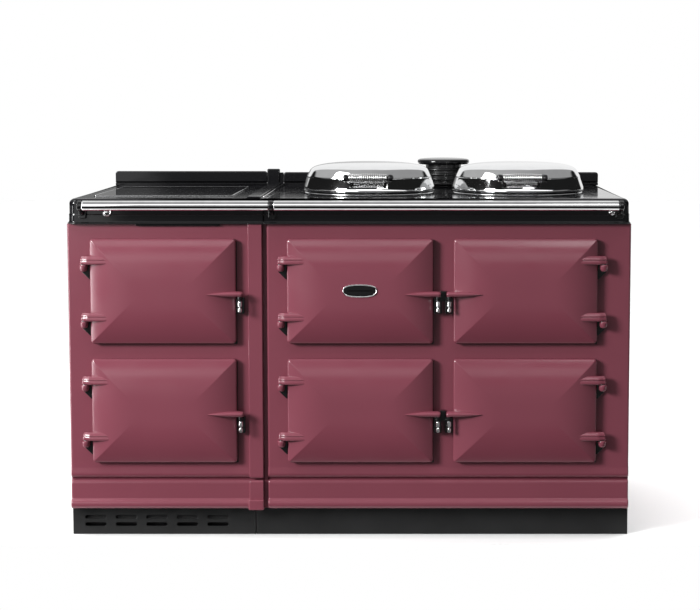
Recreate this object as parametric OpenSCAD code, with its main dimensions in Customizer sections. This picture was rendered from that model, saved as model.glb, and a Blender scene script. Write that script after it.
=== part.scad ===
// Cast iron range cooker built from two joined modules.
// Left module: two ovens under a glass hob. Right module: three ovens and a control
// compartment behind four doors, under two hotplates with hinged insulating lids.
// X runs along the front, Y towards the back, Z up. The origin is on the floor at the
// centre of the whole object's box. Millimetres.

/* [Overall] */
// Width across both top plates
total_w = 1480; // [1470:1:1490]
// Height of the hob surface above the floor
hob_h = 900; // [895:1:910]
// Depth of the top plates, front to back
plate_d = 698; // [690:1:706]
// How far the towel rail stands in front of the top plates
rail_out = 48; // [46:1:54]
// Width of the left module's top plate up to the joint between the modules
left_w = 517.5; // [515:0.5:520]

/* [Plinth and skirt] */
// Height of the recessed plinth
plinth_h = 75; // [70:1:80]
// How far the plinth stands back from the front plates
plinth_in = 30; // [20:1:60]
// Height above the floor of the top of the rounded base moulding
mould_z = 104; // [98:1:108]
// Height above the floor of the top of the skirt panel
skirt_z = 159; // [155:1:163]
// Number of ventilation slots in each row of the left plinth
slot_n = 5; // [3:1:6]

/* [Top plates] */
// Height of the top plate's front apron
apron_h = 66; // [62:1:70]
// Radius of the rounded front top edge
edge_r = 14; // [8:1:18]
// Width of the glass hob
glass_w = 366; // [340:1:370]
// Depth of the glass hob
glass_d = 440; // [400:1:450]

/* [Doors] */
// Height of every door
door_h = 275; // [270:1:280]
// Width of the left module's doors
door_wl = 380; // [376:1:384]
// Width of the left doors of the right module
door_wm = 382; // [378:1:384]
// Width of the right doors of the right module
door_wr = 375; // [371:1:377]
// Height of the bottom edge of the lower doors
low_z = 205; // [203:1:208]
// Height of the bottom edge of the upper doors
up_z = 520.5; // [518:0.5:522]
// Thickness of a door at its crowned middle
door_t = 38; // [34:1:40]
// Thickness of a door at its edge
door_edge = 17; // [14:1:20]
// Width of the sloping band round a door's face
hip_w = 62; // [45:1:70]
// Radius of a hinge pin
pin_r = 4; // [3:0.5:5]
// Radial running clearance of a hinge pin in its lug
pin_gap = 0.05; // [0.03:0.01:0.08]

/* [Hotplates and lids] */
// Radius of a lid's rim
lid_r = 184; // [180:1:186]
// Height of a lid's crown above the hob surface
lid_top = 84; // [78:1:90]
// Radius of a hotplate
plate_r = 170; // [165:1:171]
// Distance of the hotplates' centres behind the front edge of the top plate
lid_back = 337; // [330:1:345]

/* [Rail and vent] */
// Diameter of the towel rail
rail_dia = 26; // [22:1:26]
// Radius of the vent cap
cap_r = 78; // [70:1:78]

/* [Hidden] */
$fn = 64;

hx = total_w / 2;
y_back = (plate_d + rail_out) / 2;
y_plate = y_back - plate_d;
y_face = y_plate + 14;
y_in = y_face + 12;
y_panel = y_back - 36;
z_front = hob_h - apron_h;
joint_x = left_w - hx;
xl0 = 3 - hx;
xl1 = joint_x - 3.5;
xr0 = joint_x + 6;
xr1 = hx - 3;
// doors: [hinge side x, width, bottom z, +1 hinged left or -1 hinged right]
d_slow = [65 - hx, door_wl, up_z, 1];
d_warm = [65 - hx, door_wl, low_z, 1];
d_control = [joint_x + 60.5, door_wm, up_z, 1];
d_bake = [joint_x + 60.5, door_wm, low_z, 1];
d_roast = [hx - 92, door_wr, up_z, -1];
d_simmer = [hx - 92, door_wr, low_z, -1];
doors_left = [d_slow, d_warm];
doors_right = [d_control, d_bake, d_roast, d_simmer];
doors = [d_slow, d_warm, d_control, d_bake, d_roast, d_simmer];
y_door = y_face - 2;
hinge_off = 16;
hinge_y = y_face - 19;
lugs = [71, 219.5];
lug_h = 22;
lap = 22;
wall = 8;
oven_y = 215;
cx = [joint_x + 269, joint_x + 684.5];
vx = joint_x + 484.5;
cy = y_plate + lid_back;
hinge_ly = cy + lid_r + 21;
hinge_lz = hob_h + 25;
rail_y = y_plate - rail_out + rail_dia / 2;
rail_z = hob_h - 16;
knob_x = [-104, 0, 104];
knob_z = up_z + 118;
panel_y = y_in + 60;

function ap0(d) = d[3] > 0 ? d[0] + lap : d[0] - d[1] + lap;
function ap1(d) = ap0(d) + d[1] - 2 * lap;
function az0(d) = d[2] + lap;
function az1(d) = d[2] + door_h - lap;

module bx(x0, x1, y0, y1, z0, z1) translate([x0, y0, z0]) cube([x1 - x0, y1 - y0, z1 - z0]);

// rectangle with round corners
module rr2(a0, a1, b0, b1, r) {
  translate([a0 + r, b0]) square([a1 - a0 - 2 * r, b1 - b0]);
  translate([a0, b0 + r]) square([a1 - a0, b1 - b0 - 2 * r]);
  for (a = [a0 + r, a1 - r], b = [b0 + r, b1 - r]) translate([a, b]) circle(r);
}
// block with round upright edges
module rbox(x0, x1, y0, y1, z0, z1, r)
  translate([0, 0, z0]) linear_extrude(z1 - z0) rr2(x0, x1, y0, y1, r);
// block with round front-to-back edges
module fbox(x0, x1, z0, z1, y0, y1, r)
  translate([0, y1, 0]) rotate([90, 0, 0]) linear_extrude(y1 - y0) rr2(x0, x1, z0, z1, r);
module cyl_x(x0, x1, y, z, r) translate([x0, y, z]) rotate([0, 90, 0]) cylinder(h = x1 - x0, r = r);
module cyl_y(x, y0, y1, z, r) translate([x, y1, z]) rotate([90, 0, 0]) cylinder(h = y1 - y0, r = r);
module cyl_z(x, y, z0, z1, r) translate([x, y, z0]) cylinder(h = z1 - z0, r = r);

// ---------- base ----------
module plinth_left() color([0.14, 0.14, 0.14]) {
  y = y_face + plinth_in;
  pitch = (left_w - 110) / 5;
  difference() {
    bx(-hx, xl1 - 26, y, y + 3, 0, plinth_h);
    for (i = [0 : slot_n - 1], z = [27, 47])
      fbox(xl0 + 30 + i * pitch, xl0 + 30 + i * pitch + 56, z - 5, z + 5, y - 1, y + 4, 4.9);
  }
  bx(-hx, 3 - hx, y + 3.2, y_panel, 0, plinth_h);
  bx(3.2 - hx, xl1 - 26, y_panel - 3, y_panel, 0, plinth_h);
}
module plinth_right() color([0.14, 0.14, 0.14]) {
  y = y_face + plinth_in;
  bx(xl1 - 25, hx, y, y + 3, 0, plinth_h);
  bx(hx - 3, hx, y + 3.2, y_panel, 0, plinth_h);
  bx(xl1 - 25, hx - 3.2, y_panel - 3, y_panel, 0, plinth_h);
}
module levelling_feet() color([0.35, 0.35, 0.36])
  for (x = [xl0 + 60, xl1 - 70, xr0 + 60, (xr0 + xr1) / 2, xr1 - 60], y = [y_face + 110, y_panel - 70]) {
    cyl_z(x, y, 0, 14, 24);
    cyl_z(x, y, 14, plinth_h, 8);
  }
module base_plates() color([0.3, 0.3, 0.31]) {
  bx(xl0, xl1, y_in, y_panel, plinth_h, plinth_h + 4);
  bx(xr0, xr1, y_in, y_panel, plinth_h, plinth_h + 4);
}
// skirt panel and the rounded moulding under it, one casting per module
module skirt(x0, x1) {
  rbox(x0, x1, y_face + 1, y_in, plinth_h + 2, skirt_z - 0.5, 5);
  r = (mould_z - plinth_h - 2) / 2;
  bx(x0 + 1, x1 - 1, y_face - 3, y_face + 2, plinth_h + 2, mould_z);
  cyl_x(x0 + 1, x1 - 1, y_face - 3, plinth_h + 2 + r, r);
}
module skirts() color([0.53, 0.28, 0.34]) {
  intersection() {
    skirt(xl0, xl1);
    bx(xl0, xl1, y_face - 9, y_in, 0, 400);
  }
  intersection() {
    skirt(xr0, xr1);
    bx(xr0, xr1, y_face - 9, y_in, 0, 400);
  }
}
module cabinet_panels() color([0.53, 0.28, 0.34]) {
  for (x = [xl0, xl1 - 3, xr0, xr1 - 3]) bx(x, x + 3, y_in, y_panel, plinth_h + 4, z_front);
  bx(xl0 + 3.2, xl1 - 3.2, y_panel - 3, y_panel, plinth_h + 4, z_front);
  bx(xr0 + 3.2, xr1 - 3.2, y_panel - 3, y_panel, plinth_h + 4, z_front);
}
// mineral packing that fills each cabinet round its ovens
module packing(x0, x1, ds) {
  difference() {
    bx(x0, x1, y_in + 1, y_panel - 4, plinth_h + 5, z_front - 1);
    for (d = ds) bx(ap0(d) - wall - 1, ap1(d) + wall + 1, y_in, oven_y + 9, az0(d) - wall - 1, az1(d) + wall + 1);
  }
}
module insulation() color([0.8, 0.75, 0.6]) {
  packing(xl0 + 4, xl1 - 4, doors_left);
  packing(xr0 + 4, xr1 - 4, doors_right);
}

// ---------- fronts ----------
module front(x0, x1, ds) {
  difference() {
    rbox(x0, x1, y_face, y_in + 8, skirt_z, z_front, 6);
    bx(x0 - 1, x1 + 1, y_in, y_in + 9, skirt_z - 1, z_front + 1);
    for (d = ds) fbox(ap0(d), ap1(d), az0(d), az1(d), y_face - 1, y_in + 1, 12);
  }
}
module front_plate_left() color([0.53, 0.28, 0.34]) front(xl0, xl1, doors_left);
module front_plate_right() color([0.53, 0.28, 0.34]) front(xr0, xr1, doors_right);
module pilaster_strip() color([0.53, 0.28, 0.34]) {
  rbox(xl1 - 38.5, xl1 - 1, y_face - 8, y_face, mould_z + 0.2, z_front, 3);
  rbox(xl1 - 41.5, xl1 + 1, y_face - 18, y_face - 9.2, plinth_h + 1, mould_z, 4);
}

// ---------- top ----------
module plate_body(x0, x1, r0, r1) {
  intersection() {
    translate([x0, 0, 0]) rotate([90, 0, 90]) linear_extrude(x1 - x0) union() {
      translate([y_plate + 3 + edge_r, z_front]) square([y_back - y_plate - 3 - edge_r, apron_h]);
      translate([y_plate + 3, z_front]) square([edge_r + 1, apron_h - edge_r]);
      translate([y_plate + 3 + edge_r, hob_h - edge_r]) circle(edge_r);
    }
    translate([0, y_back + 1, 0]) rotate([90, 0, 0]) linear_extrude(plate_d + 2) union() {
      translate([x0, z_front]) square([x1 - x0, apron_h - 16]);
      translate([x0 + r0, z_front]) square([x1 - x0 - r0 - r1, apron_h]);
      translate([x0 + r0, hob_h - r0]) circle(r0);
      translate([x1 - r1, hob_h - r1]) circle(r1);
    }
  }
}
module plate_left_shell() difference() {
  union() {
    plate_body(xl0 + 3, joint_x - 1, 14, 3);
    bx(1 - hx, joint_x - 1, y_plate, y_back, z_front, z_front + 5);
  }
  bx(xl0 + 12, joint_x - 13, y_plate + 15, y_back - 12, z_front - 1, hob_h - 12);
}
module plate_right_shell() difference() {
  union() {
    plate_body(joint_x + 1, xr1 - 3, 3, 14);
    bx(joint_x + 1, hx - 1, y_plate, y_back, z_front, z_front + 5);
  }
  bx(joint_x + 13, xr1 - 12, y_plate + 15, y_back - 12, z_front - 1, hob_h - 12);
}
gx0 = 58 - hx;
gx1 = gx0 + glass_w;
gy0 = y_plate + 114;
gy1 = gy0 + glass_d;
module top_plate_left() color([0.07, 0.07, 0.07]) {
  difference() {
    plate_left_shell();
    rbox(gx0 + 4, gx1 - 4, gy0 + 4, gy1 - 4, hob_h - 20, hob_h + 1, 4);
    rbox(gx0 - 3, gx1 + 3, gy0 - 3, gy1 + 3, hob_h - 4, hob_h + 1, 7);
  }
  bx(-hx + 184, -hx + 403, y_plate + 6, y_face - 2, z_front - 5, z_front + 1);
}
module top_plate_right() color([0.07, 0.07, 0.07]) difference() {
  plate_right_shell();
  for (x = cx) cyl_z(x, cy, hob_h - 20, hob_h + 1, plate_r + 4);
  cyl_z(vx, y_back - 78, hob_h - 20, hob_h + 1, 40);
}
module joint_cover() color([0.12, 0.12, 0.12]) {
  // flat strip along the joint, the bright bead beside it and the rear column
  rbox(joint_x - 44, joint_x - 9, y_plate + 15, y_back - 18.3, hob_h, hob_h + 5, 2);
  bx(joint_x - 2, joint_x + 3, y_plate + 18, y_back - 18.3, hob_h, hob_h + 6);
  rbox(joint_x - 48, joint_x - 10, y_back - 18, y_back, hob_h, hob_h + 49, 4);
  bx(joint_x - 12, joint_x + 0.7, y_back - 14, y_back - 2, hob_h, hob_h + 38);
}
module upstands() color([0.09, 0.09, 0.09]) {
  rbox(9 - hx, joint_x - 48.3, y_back - 16, y_back, hob_h, hob_h + 42, 4);
  rbox(joint_x + 1, hx - 7, y_back - 16, y_back, hob_h, hob_h + 39, 4);
}
module hob_glass() color([0.03, 0.03, 0.035])
  rbox(gx0, gx1, gy0, gy1, hob_h - 4, hob_h + 2, 4);
module hob_trim() color([0.8, 0.8, 0.82]) difference() {
  rbox(gx0 - 2.8, gx1 + 2.8, gy0 - 2.8, gy1 + 2.8, hob_h - 3.8, hob_h + 2.5, 6.8);
  rbox(gx0 - 0.2, gx1 + 0.2, gy0 - 0.2, gy1 + 0.2, hob_h - 5, hob_h + 3, 4.2);
}
// rings under the hotplates and flat coils under the glass
module heating_elements() color([0.55, 0.4, 0.3]) {
  for (x = cx) translate([x, cy, hob_h - 48]) {
    for (r = [55, 100, 145]) rotate_extrude() translate([r, 0]) circle(8, $fn = 24);
    bx(-150, 150, -6, 6, z_front - 1 - hob_h + 48, 0);
  }
  for (p = [[0, 115, 68], [0, 315, 88]])
    translate([(gx0 + gx1) / 2, gy0 + p[1], hob_h - 16]) difference() {
      cylinder(h = 8, r = p[2]);
      translate([0, 0, -1]) cylinder(h = 10, r = 20);
    }
  bx(gx0 + 20, gx1 - 20, gy0 + 20, gy1 - 20, hob_h - 20, hob_h - 16);
  for (x = [gx0 + 40, gx1 - 40], y = [gy0 + 40, gy1 - 40]) cyl_z(x, y, z_front - 1, hob_h - 19, 6);
}
module hotplates() color([0.3, 0.3, 0.3]) for (x = cx) {
  cyl_z(x, cy, hob_h - 40, hob_h + 2.5, plate_r);
  cyl_z(x, cy, hob_h - 24, hob_h - 12, plate_r + 12);
}
module lid_hinges() color([0.15, 0.15, 0.15]) for (x = cx) {
  bx(x - 42, x + 42, hinge_ly - 12, hinge_ly + 14, hob_h, hob_h + 4);
  for (s = [-1, 1]) {
    bx(x + s * 36 - 5, x + s * 36 + 5, hinge_ly - 10, hinge_ly + 10, hob_h + 3, hinge_lz);
    cyl_x(x + s * 36 - 5, x + s * 36 + 5, hinge_ly, hinge_lz, 10);
  }
  cyl_x(x - 40, x + 40, hinge_ly, hinge_lz, pin_r);
}
module vent_neck() color([0.1, 0.1, 0.1])
  translate([vx, y_back - 78, hob_h]) {
    difference() { cylinder(h = 60, r = 52); translate([0, 0, -1]) cylinder(h = 62, r = 40); }
    for (i = [0 : 3]) translate([0, 0, 6 + i * 14]) difference() {
      cylinder(h = 7, r = 62);
      translate([0, 0, -1]) cylinder(h = 9, r = 50);
    }
  }
module vent_cap() color([0.25, 0.25, 0.25])
  translate([vx, y_back - 78, hob_h + 60]) rotate_extrude()
    polygon([[0, 0], [cap_r - 3, 0], [cap_r, 3], [cap_r, 8], [cap_r - 2, 11], [cap_r - 12, 16], [40, 22], [0, 25]]);

// ---------- rail ----------
module towel_rails() color([0.85, 0.85, 0.87]) {
  cyl_x(54 - hx, joint_x + 17, rail_y, rail_z, rail_dia / 2);
  cyl_x(joint_x + 29.4, hx - 43, rail_y, rail_z, rail_dia / 2);
}
module rail_arm(x) {
  cyl_x(x, x + 12.4, rail_y, rail_z, rail_dia / 2);
  bx(x + 1, x + 11.4, rail_y, y_plate + 3, rail_z - 12, rail_z + 6);
  bx(x - 4, x + 16.4, y_plate - 6, y_plate + 3, rail_z - 34, rail_z - 6);
}
module rail_brackets() color([0.06, 0.06, 0.06]) {
  rail_arm(41.6 - hx);
  rail_arm(joint_x + 17);
  rail_arm(hx - 43);
}
module rail_screws() color([0.85, 0.85, 0.87]) {
  cyl_y(112 - hx, y_plate - 8, y_plate + 3, hob_h - 35, 12);
  cyl_y(hx - 56, y_plate - 8, y_plate + 3, hob_h - 35, 9);
}

// ---------- ovens ----------
module oven(d) {
  difference() {
    bx(ap0(d) - wall, ap1(d) + wall, y_in + 0.2, oven_y + wall, az0(d) - wall, az1(d) + wall);
    bx(ap0(d), ap1(d), y_in - 1, oven_y, az0(d), az1(d));
  }
  for (x = [ap0(d) - 1, ap1(d) - 7], z = [40, 100, 160]) bx(x, x + 8, y_in + 30, oven_y - 10, az0(d) + z, az0(d) + z + 6);
}
module ovens_left() color([0.2, 0.2, 0.21]) for (d = doors_left) oven(d);
module ovens_right() color([0.2, 0.2, 0.21]) for (d = [d_bake, d_roast, d_simmer]) oven(d);
module shelf(d) {
  z = az0(d) + 49.5;
  x0 = ap0(d) + 1.5;
  x1 = ap1(d) - 1.5;
  for (y = [y_in + 34, oven_y - 14]) cyl_x(x0, x1, y, z, 3.5);
  for (x = [x0 + 3.7, x1 - 3.7]) cyl_y(x, y_in + 33.1, oven_y - 13.1, z, 3.2);
  for (i = [1 : 9]) cyl_y(x0 + 3.7 + i * (x1 - x0 - 7.4) / 10, y_in + 33.6, oven_y - 13.6, z, 2.1);
}
module oven_shelves() color([0.8, 0.8, 0.82]) for (d = [d_slow, d_warm, d_bake, d_roast, d_simmer]) shelf(d);
module control_box() color([0.7, 0.7, 0.7]) difference() {
  d = d_control;
  bx(ap0(d) - 3, ap1(d) + 3, y_in + 0.2, y_in + 150, az0(d) - 3, az1(d) + 3);
  bx(ap0(d), ap1(d), y_in - 1, y_in + 147, az0(d), az1(d));
}
kcx = (ap0(d_control) + ap1(d_control)) / 2;
module control_panel() color([0.1, 0.1, 0.1]) difference() {
  bx(ap0(d_control), ap1(d_control), panel_y, panel_y + 3, az0(d_control), az1(d_control));
  for (k = knob_x) cyl_y(kcx + k, panel_y - 1, panel_y + 4, knob_z, 3 + pin_gap);
}
module knob(k) color([0.75, 0.75, 0.77]) {
  cyl_y(kcx + k, panel_y - 26, panel_y - 4, knob_z, 19);
  cyl_y(kcx + k, panel_y - 5, panel_y - 1.5, knob_z, 24);
  bx(kcx + k - 2.5, kcx + k + 2.5, panel_y - 29, panel_y - 25, knob_z - 2, knob_z + 18);
  cyl_y(kcx + k, panel_y - 4, panel_y + 14, knob_z, 3);
}
module knob_left() knob(knob_x[0]);
module knob_middle() knob(knob_x[1]);
module knob_right() knob(knob_x[2]);
// mains terminal box on the back, with the cable gland under it
module terminal_box() color([0.15, 0.15, 0.15]) difference() {
  union() {
    bx(hx - 180, hx - 40, y_panel, y_back - 1, 150, 250);
    cyl_z(hx - 110, y_panel + 18, 132, 151, 15);
  }
  bx(hx - 176, hx - 44, y_panel + 4, y_back - 5, 154, 246);
  cyl_z(hx - 110, y_panel + 18, 131, 160, 9);
}

// ---------- hinges and doors ----------
function axis_x(d) = d[0] - d[3] * hinge_off;
module hinge_blocks() color([0.53, 0.28, 0.34]) for (d = doors, z = lugs) {
  x = axis_x(d);
  difference() {
    union() {
      cyl_z(x, hinge_y, d[2] + z - lug_h * 1.5, d[2] + z - lug_h / 2 - 0.6, 10.5);
      bx(x - 10.5, x + 10.5, hinge_y, y_face, d[2] + z - lug_h * 1.5, d[2] + z - lug_h / 2 - 0.6);
    }
    cyl_z(x, hinge_y, d[2] + z - lug_h - 2, d[2] + z, pin_r);
  }
}
module hinge_pins() color([0.6, 0.6, 0.62]) for (d = doors, z = lugs)
  cyl_z(axis_x(d), hinge_y, d[2] + z - lug_h - 2, d[2] + z + lug_h / 2 - 5, pin_r);
// black striker plates behind the pegs and the block between facing handles
module door_catches() color([0.05, 0.05, 0.05]) for (d = doors) {
  x = d[0] + d[3] * (d[1] + 12);
  fbox(x - 8.5, x + 8.5, d[2] + 74, d[2] + 124, y_face - 18, y_face, 3);
  if (d[3] > 0 && d[0] > joint_x)
    fbox(x + 9, x + 21, d[2] + 110, d[2] + 142, y_face - 18, y_face, 2);
}
// pocket in the back of a hollow door casting, filled by the insulated plug's core
module core(w, g) hull() {
  fbox(lap + 9 + g, w - lap - 9 - g, lap + 9 + g, door_h - lap - 9 - g, y_door - 13 + g, y_door + 1, 6, $fn = 32);
  fbox(72 + g, w - 72 - g, 72 + g, door_h - 72 - g, y_door - door_t + 10 + g, y_door - 12, 2, $fn = 32);
}
// one door casting, drawn hinged on the left with its hinge edge at x = 0
module casting(w, hollow) {
  difference() {
    union() {
      fbox(0, w, 0, door_h, y_door - door_edge, y_door, 9);
      hull() {
        fbox(1, w - 1, 1, door_h - 1, y_door - door_edge - 2, y_door - door_edge + 2, 8, $fn = 32);
        fbox(hip_w, w - hip_w, hip_w, door_h - hip_w, y_door - door_t, y_door - door_t + 1, 2, $fn = 32);
      }
      // handle rib, tapering to a point inside the face
      hull() {
        translate([w - 92, y_door - door_t + 6, 132]) sphere(2, $fn = 16);
        translate([w - 4, y_door - door_t + 2, 132]) sphere(9, $fn = 24);
        translate([w + 11, y_door - door_t + 4, 132]) sphere(8, $fn = 24);
      }
      // hinge lugs with their ribs
      for (z = lugs) {
        translate([-hinge_off, hinge_y, z - lug_h / 2]) cylinder(h = lug_h, r = 8.5);
        bx(-hinge_off, 2, hinge_y - 8.5, hinge_y + 8.5, z - lug_h / 2, z + lug_h / 2);
        hull() {
          bx(-2, 1, hinge_y - 11, hinge_y, z - lug_h / 2, z + lug_h / 2);
          translate([52, y_door - door_t + 6, z]) sphere(2, $fn = 16);
        }
      }
    }
    for (z = lugs) translate([-hinge_off, hinge_y, z - lug_h / 2 - 1]) cylinder(h = lug_h - 3, r = pin_r + pin_gap);
    // stem hole of the peg
    translate([w + 12, y_door - door_t + 4, 118]) cylinder(h = 12, r = 3);
    if (hollow) core(w, 0);
  }
}
module place(d) translate([d[0], 0, d[2]]) if (d[3] > 0) children(); else mirror([1, 0, 0]) children();
module door(d) color([0.53, 0.28, 0.34]) place(d) casting(d[1], d != d_control);
module door_slow() door(d_slow);
module door_warm() door(d_warm);
module door_control() door(d_control);
module door_bake() door(d_bake);
module door_roast() door(d_roast);
module door_simmer() door(d_simmer);
// insulated plug on the back of a door, filling its pocket and reaching into the oven mouth
module plug(d) color([0.75, 0.75, 0.76]) place(d) {
  fbox(lap + 8, d[1] - lap - 8, lap + 8, door_h - lap - 8, y_door, y_in + 12, 8);
  core(d[1], 0.2);
}
module plug_slow() plug(d_slow);
module plug_warm() plug(d_warm);
module plug_bake() plug(d_bake);
module plug_roast() plug(d_roast);
module plug_simmer() plug(d_simmer);
// grooved peg hanging under the handle's end
module peg(d) color([0.85, 0.85, 0.87])
  place(d) translate([d[1] + 12, y_door - door_t + 4, 0]) {
    cyl_z(0, 0, 81, 93.5, 6);
    cyl_z(0, 0, 93.5, 96, 4.5);
    cyl_z(0, 0, 96, 109, 6);
    cyl_z(0, 0, 109, 129, 3);
  }
module peg_slow() peg(d_slow);
module peg_warm() peg(d_warm);
module peg_control() peg(d_control);
module peg_bake() peg(d_bake);
module peg_roast() peg(d_roast);
module peg_simmer() peg(d_simmer);
// blank oval plate on the crown of the control door
module badge_plate() color([0.7, 0.7, 0.72])
  translate([d_control[0] + d_control[1] / 2, y_door - door_t, up_z + 142]) rotate([90, 0, 0])
    linear_extrude(3) rr2(-45, 45, -17.5, 17.5, 17.4);

// ---------- lids ----------
module lid_shell(x) color([0.85, 0.85, 0.87]) difference() {
  union() {
    translate([x, cy, hob_h]) rotate_extrude()
      polygon([[0, 5], [lid_r - 3, 5], [lid_r, 8], [lid_r, 19], [lid_r - 8, lid_top - 40], [lid_r - 9.5, lid_top - 29], [lid_r - 16, lid_top - 19],
        [lid_r - 25, lid_top - 13], [lid_r - 40, lid_top - 8], [100, lid_top - 3.2], [50, lid_top - 0.8], [0, lid_top]]);
    bx(x - 25, x + 25, cy + lid_r - 14, hinge_ly, hob_h + 15, hob_h + 36);
    cyl_x(x - 25, x + 25, hinge_ly, hinge_lz, 11);
  }
  translate([x, cy, hob_h]) rotate_extrude()
    polygon([[0, 4], [lid_r - 6, 4], [lid_r - 6, 18], [lid_r - 14, lid_top - 40], [lid_r - 15.5, lid_top - 30], [lid_r - 24, lid_top - 22], [lid_r - 44, lid_top - 14], [0, lid_top - 6]]);
  cyl_x(x - 26, x + 26, hinge_ly, hinge_lz, pin_r + pin_gap);
}
module lid_shell_left() lid_shell(cx[0]);
module lid_shell_right() lid_shell(cx[1]);
module lid_pad(x) color([0.6, 0.6, 0.62]) translate([x, cy, hob_h]) rotate_extrude()
  polygon([[0, 5], [lid_r - 6, 5], [lid_r - 6, 13.9], [lid_r - 16, lid_top - 40], [lid_r - 20, lid_top - 30], [lid_r - 30, lid_top - 24], [lid_r - 48, lid_top - 18], [0, lid_top - 11]]);
module lid_pad_left() lid_pad(cx[0]);
module lid_pad_right() lid_pad(cx[1]);
// coil handle between two posts on the front of a lid
coil_n = 19;
coil_l = 104;
module lid_handle(x) color([0.8, 0.8, 0.82]) {
  y = cy - lid_r - 16;
  z = hob_h + 47;
  translate([x - coil_l / 2 - 3, y, z]) rotate([0, 90, 0]) cylinder(h = coil_l + 6, r = 7.5);
  for (i = [0 : coil_n - 1]) translate([x + (i - (coil_n - 1) / 2) * coil_l / coil_n - 1.2, y, z])
    rotate([0, 90, 0]) cylinder(h = 2.4, r = 10.5);
  for (s = [-1, 1]) {
    cyl_x(x + s * (coil_l / 2 + 8) - 6, x + s * (coil_l / 2 + 8) + 6, y, z, 9.5);
    cyl_y(x + s * (coil_l / 2 + 8), y + 2, cy - sqrt(pow(lid_r - 8.2, 2) - pow(coil_l / 2 + 2, 2)), z, 5);
  }
}
module lid_handle_left() lid_handle(cx[0]);
module lid_handle_right() lid_handle(cx[1]);

plinth_left();
plinth_right();
levelling_feet();
base_plates();
skirts();
cabinet_panels();
insulation();
front_plate_left();
front_plate_right();
pilaster_strip();
top_plate_left();
top_plate_right();
joint_cover();
upstands();
hob_glass();
hob_trim();
heating_elements();
hotplates();
lid_hinges();
vent_neck();
vent_cap();
towel_rails();
rail_brackets();
rail_screws();
ovens_left();
ovens_right();
oven_shelves();
control_box();
control_panel();
terminal_box();
hinge_blocks();
hinge_pins();
door_catches();
door_slow();
door_warm();
door_control();
door_bake();
door_roast();
door_simmer();
plug_slow();
plug_warm();
plug_bake();
plug_roast();
plug_simmer();
peg_slow();
peg_warm();
peg_control();
peg_bake();
peg_roast();
peg_simmer();
badge_plate();
lid_shell_left();
lid_shell_right();
lid_pad_left();
lid_pad_right();
lid_handle_left();
lid_handle_right();
knob_left();
knob_middle();
knob_right();
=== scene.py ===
import math
import bmesh
import bpy
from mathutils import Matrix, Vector
from mathutils.geometry import tessellate_polygon


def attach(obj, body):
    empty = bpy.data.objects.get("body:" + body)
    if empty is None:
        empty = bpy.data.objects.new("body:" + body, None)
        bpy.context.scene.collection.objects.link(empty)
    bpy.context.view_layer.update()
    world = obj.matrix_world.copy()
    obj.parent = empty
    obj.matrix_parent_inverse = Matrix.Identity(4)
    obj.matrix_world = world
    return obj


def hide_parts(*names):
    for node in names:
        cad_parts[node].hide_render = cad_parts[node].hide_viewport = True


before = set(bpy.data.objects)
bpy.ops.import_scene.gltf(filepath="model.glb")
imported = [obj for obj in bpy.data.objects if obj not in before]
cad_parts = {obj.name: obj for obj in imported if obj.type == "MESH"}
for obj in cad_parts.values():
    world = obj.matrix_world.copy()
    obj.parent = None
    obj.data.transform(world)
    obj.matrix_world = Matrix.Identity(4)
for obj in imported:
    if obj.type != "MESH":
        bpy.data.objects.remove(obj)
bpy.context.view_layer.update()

# ------------------------------------------------------------------ sizes, in millimetres
HX, Y_PLATE, Y_BACK, Y_FACE, Y_IN, Y_PANEL = 740.0, -325.0, 373.0, -311.0, -299.0, 337.0
HOB, Z_FRONT, JOINT = 900.0, 834.0, -222.5
XL0, XL1, XR0, XR1 = -737.0, -226.0, -216.5, 737.0
PLINTH, MOULD, SKIRT = 75.0, 104.0, 159.0
LOW, UP, DOOR_H, DOOR_T, EDGE = 205.0, 520.5, 275.0, 38.0, 17.0
Y_DOOR, HINGE_Y, HOFF, LUG_H, LAP = Y_FACE - 2, Y_FACE - 19, 16.0, 22.0, 22.0
LUGS = (71.0, 219.5)
DOORS = {"slow": (-675.0, 380.0, UP, 1), "warm": (-675.0, 380.0, LOW, 1),
         "control": (-162.0, 382.0, UP, 1), "bake": (-162.0, 382.0, LOW, 1),
         "roast": (648.0, 375.0, UP, -1), "simmer": (648.0, 375.0, LOW, -1)}
CX = (JOINT + 269, JOINT + 684.5)
CY = Y_PLATE + 337
LID_R = 184.0
VX, VY = JOINT + 484.5, Y_BACK - 78
RAIL_Y, RAIL_Z, RAIL_R = -360.0, 884.0, 13.0
GX0, GX1, GY0, GY1 = -682.0, -316.0, -211.0, 229.0


def ap(d):
    x0 = d[0] + LAP if d[3] > 0 else d[0] - d[1] + LAP
    return x0, x0 + d[1] - 2 * LAP, d[2] + LAP, d[2] + DOOR_H - LAP


# ------------------------------------------------------------------ node material helpers
def lin(*c):
    return tuple((v / 12.92 if v <= 0.04045 else ((v + 0.055) / 1.055) ** 2.4) for v in c) + (1.0,)


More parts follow.
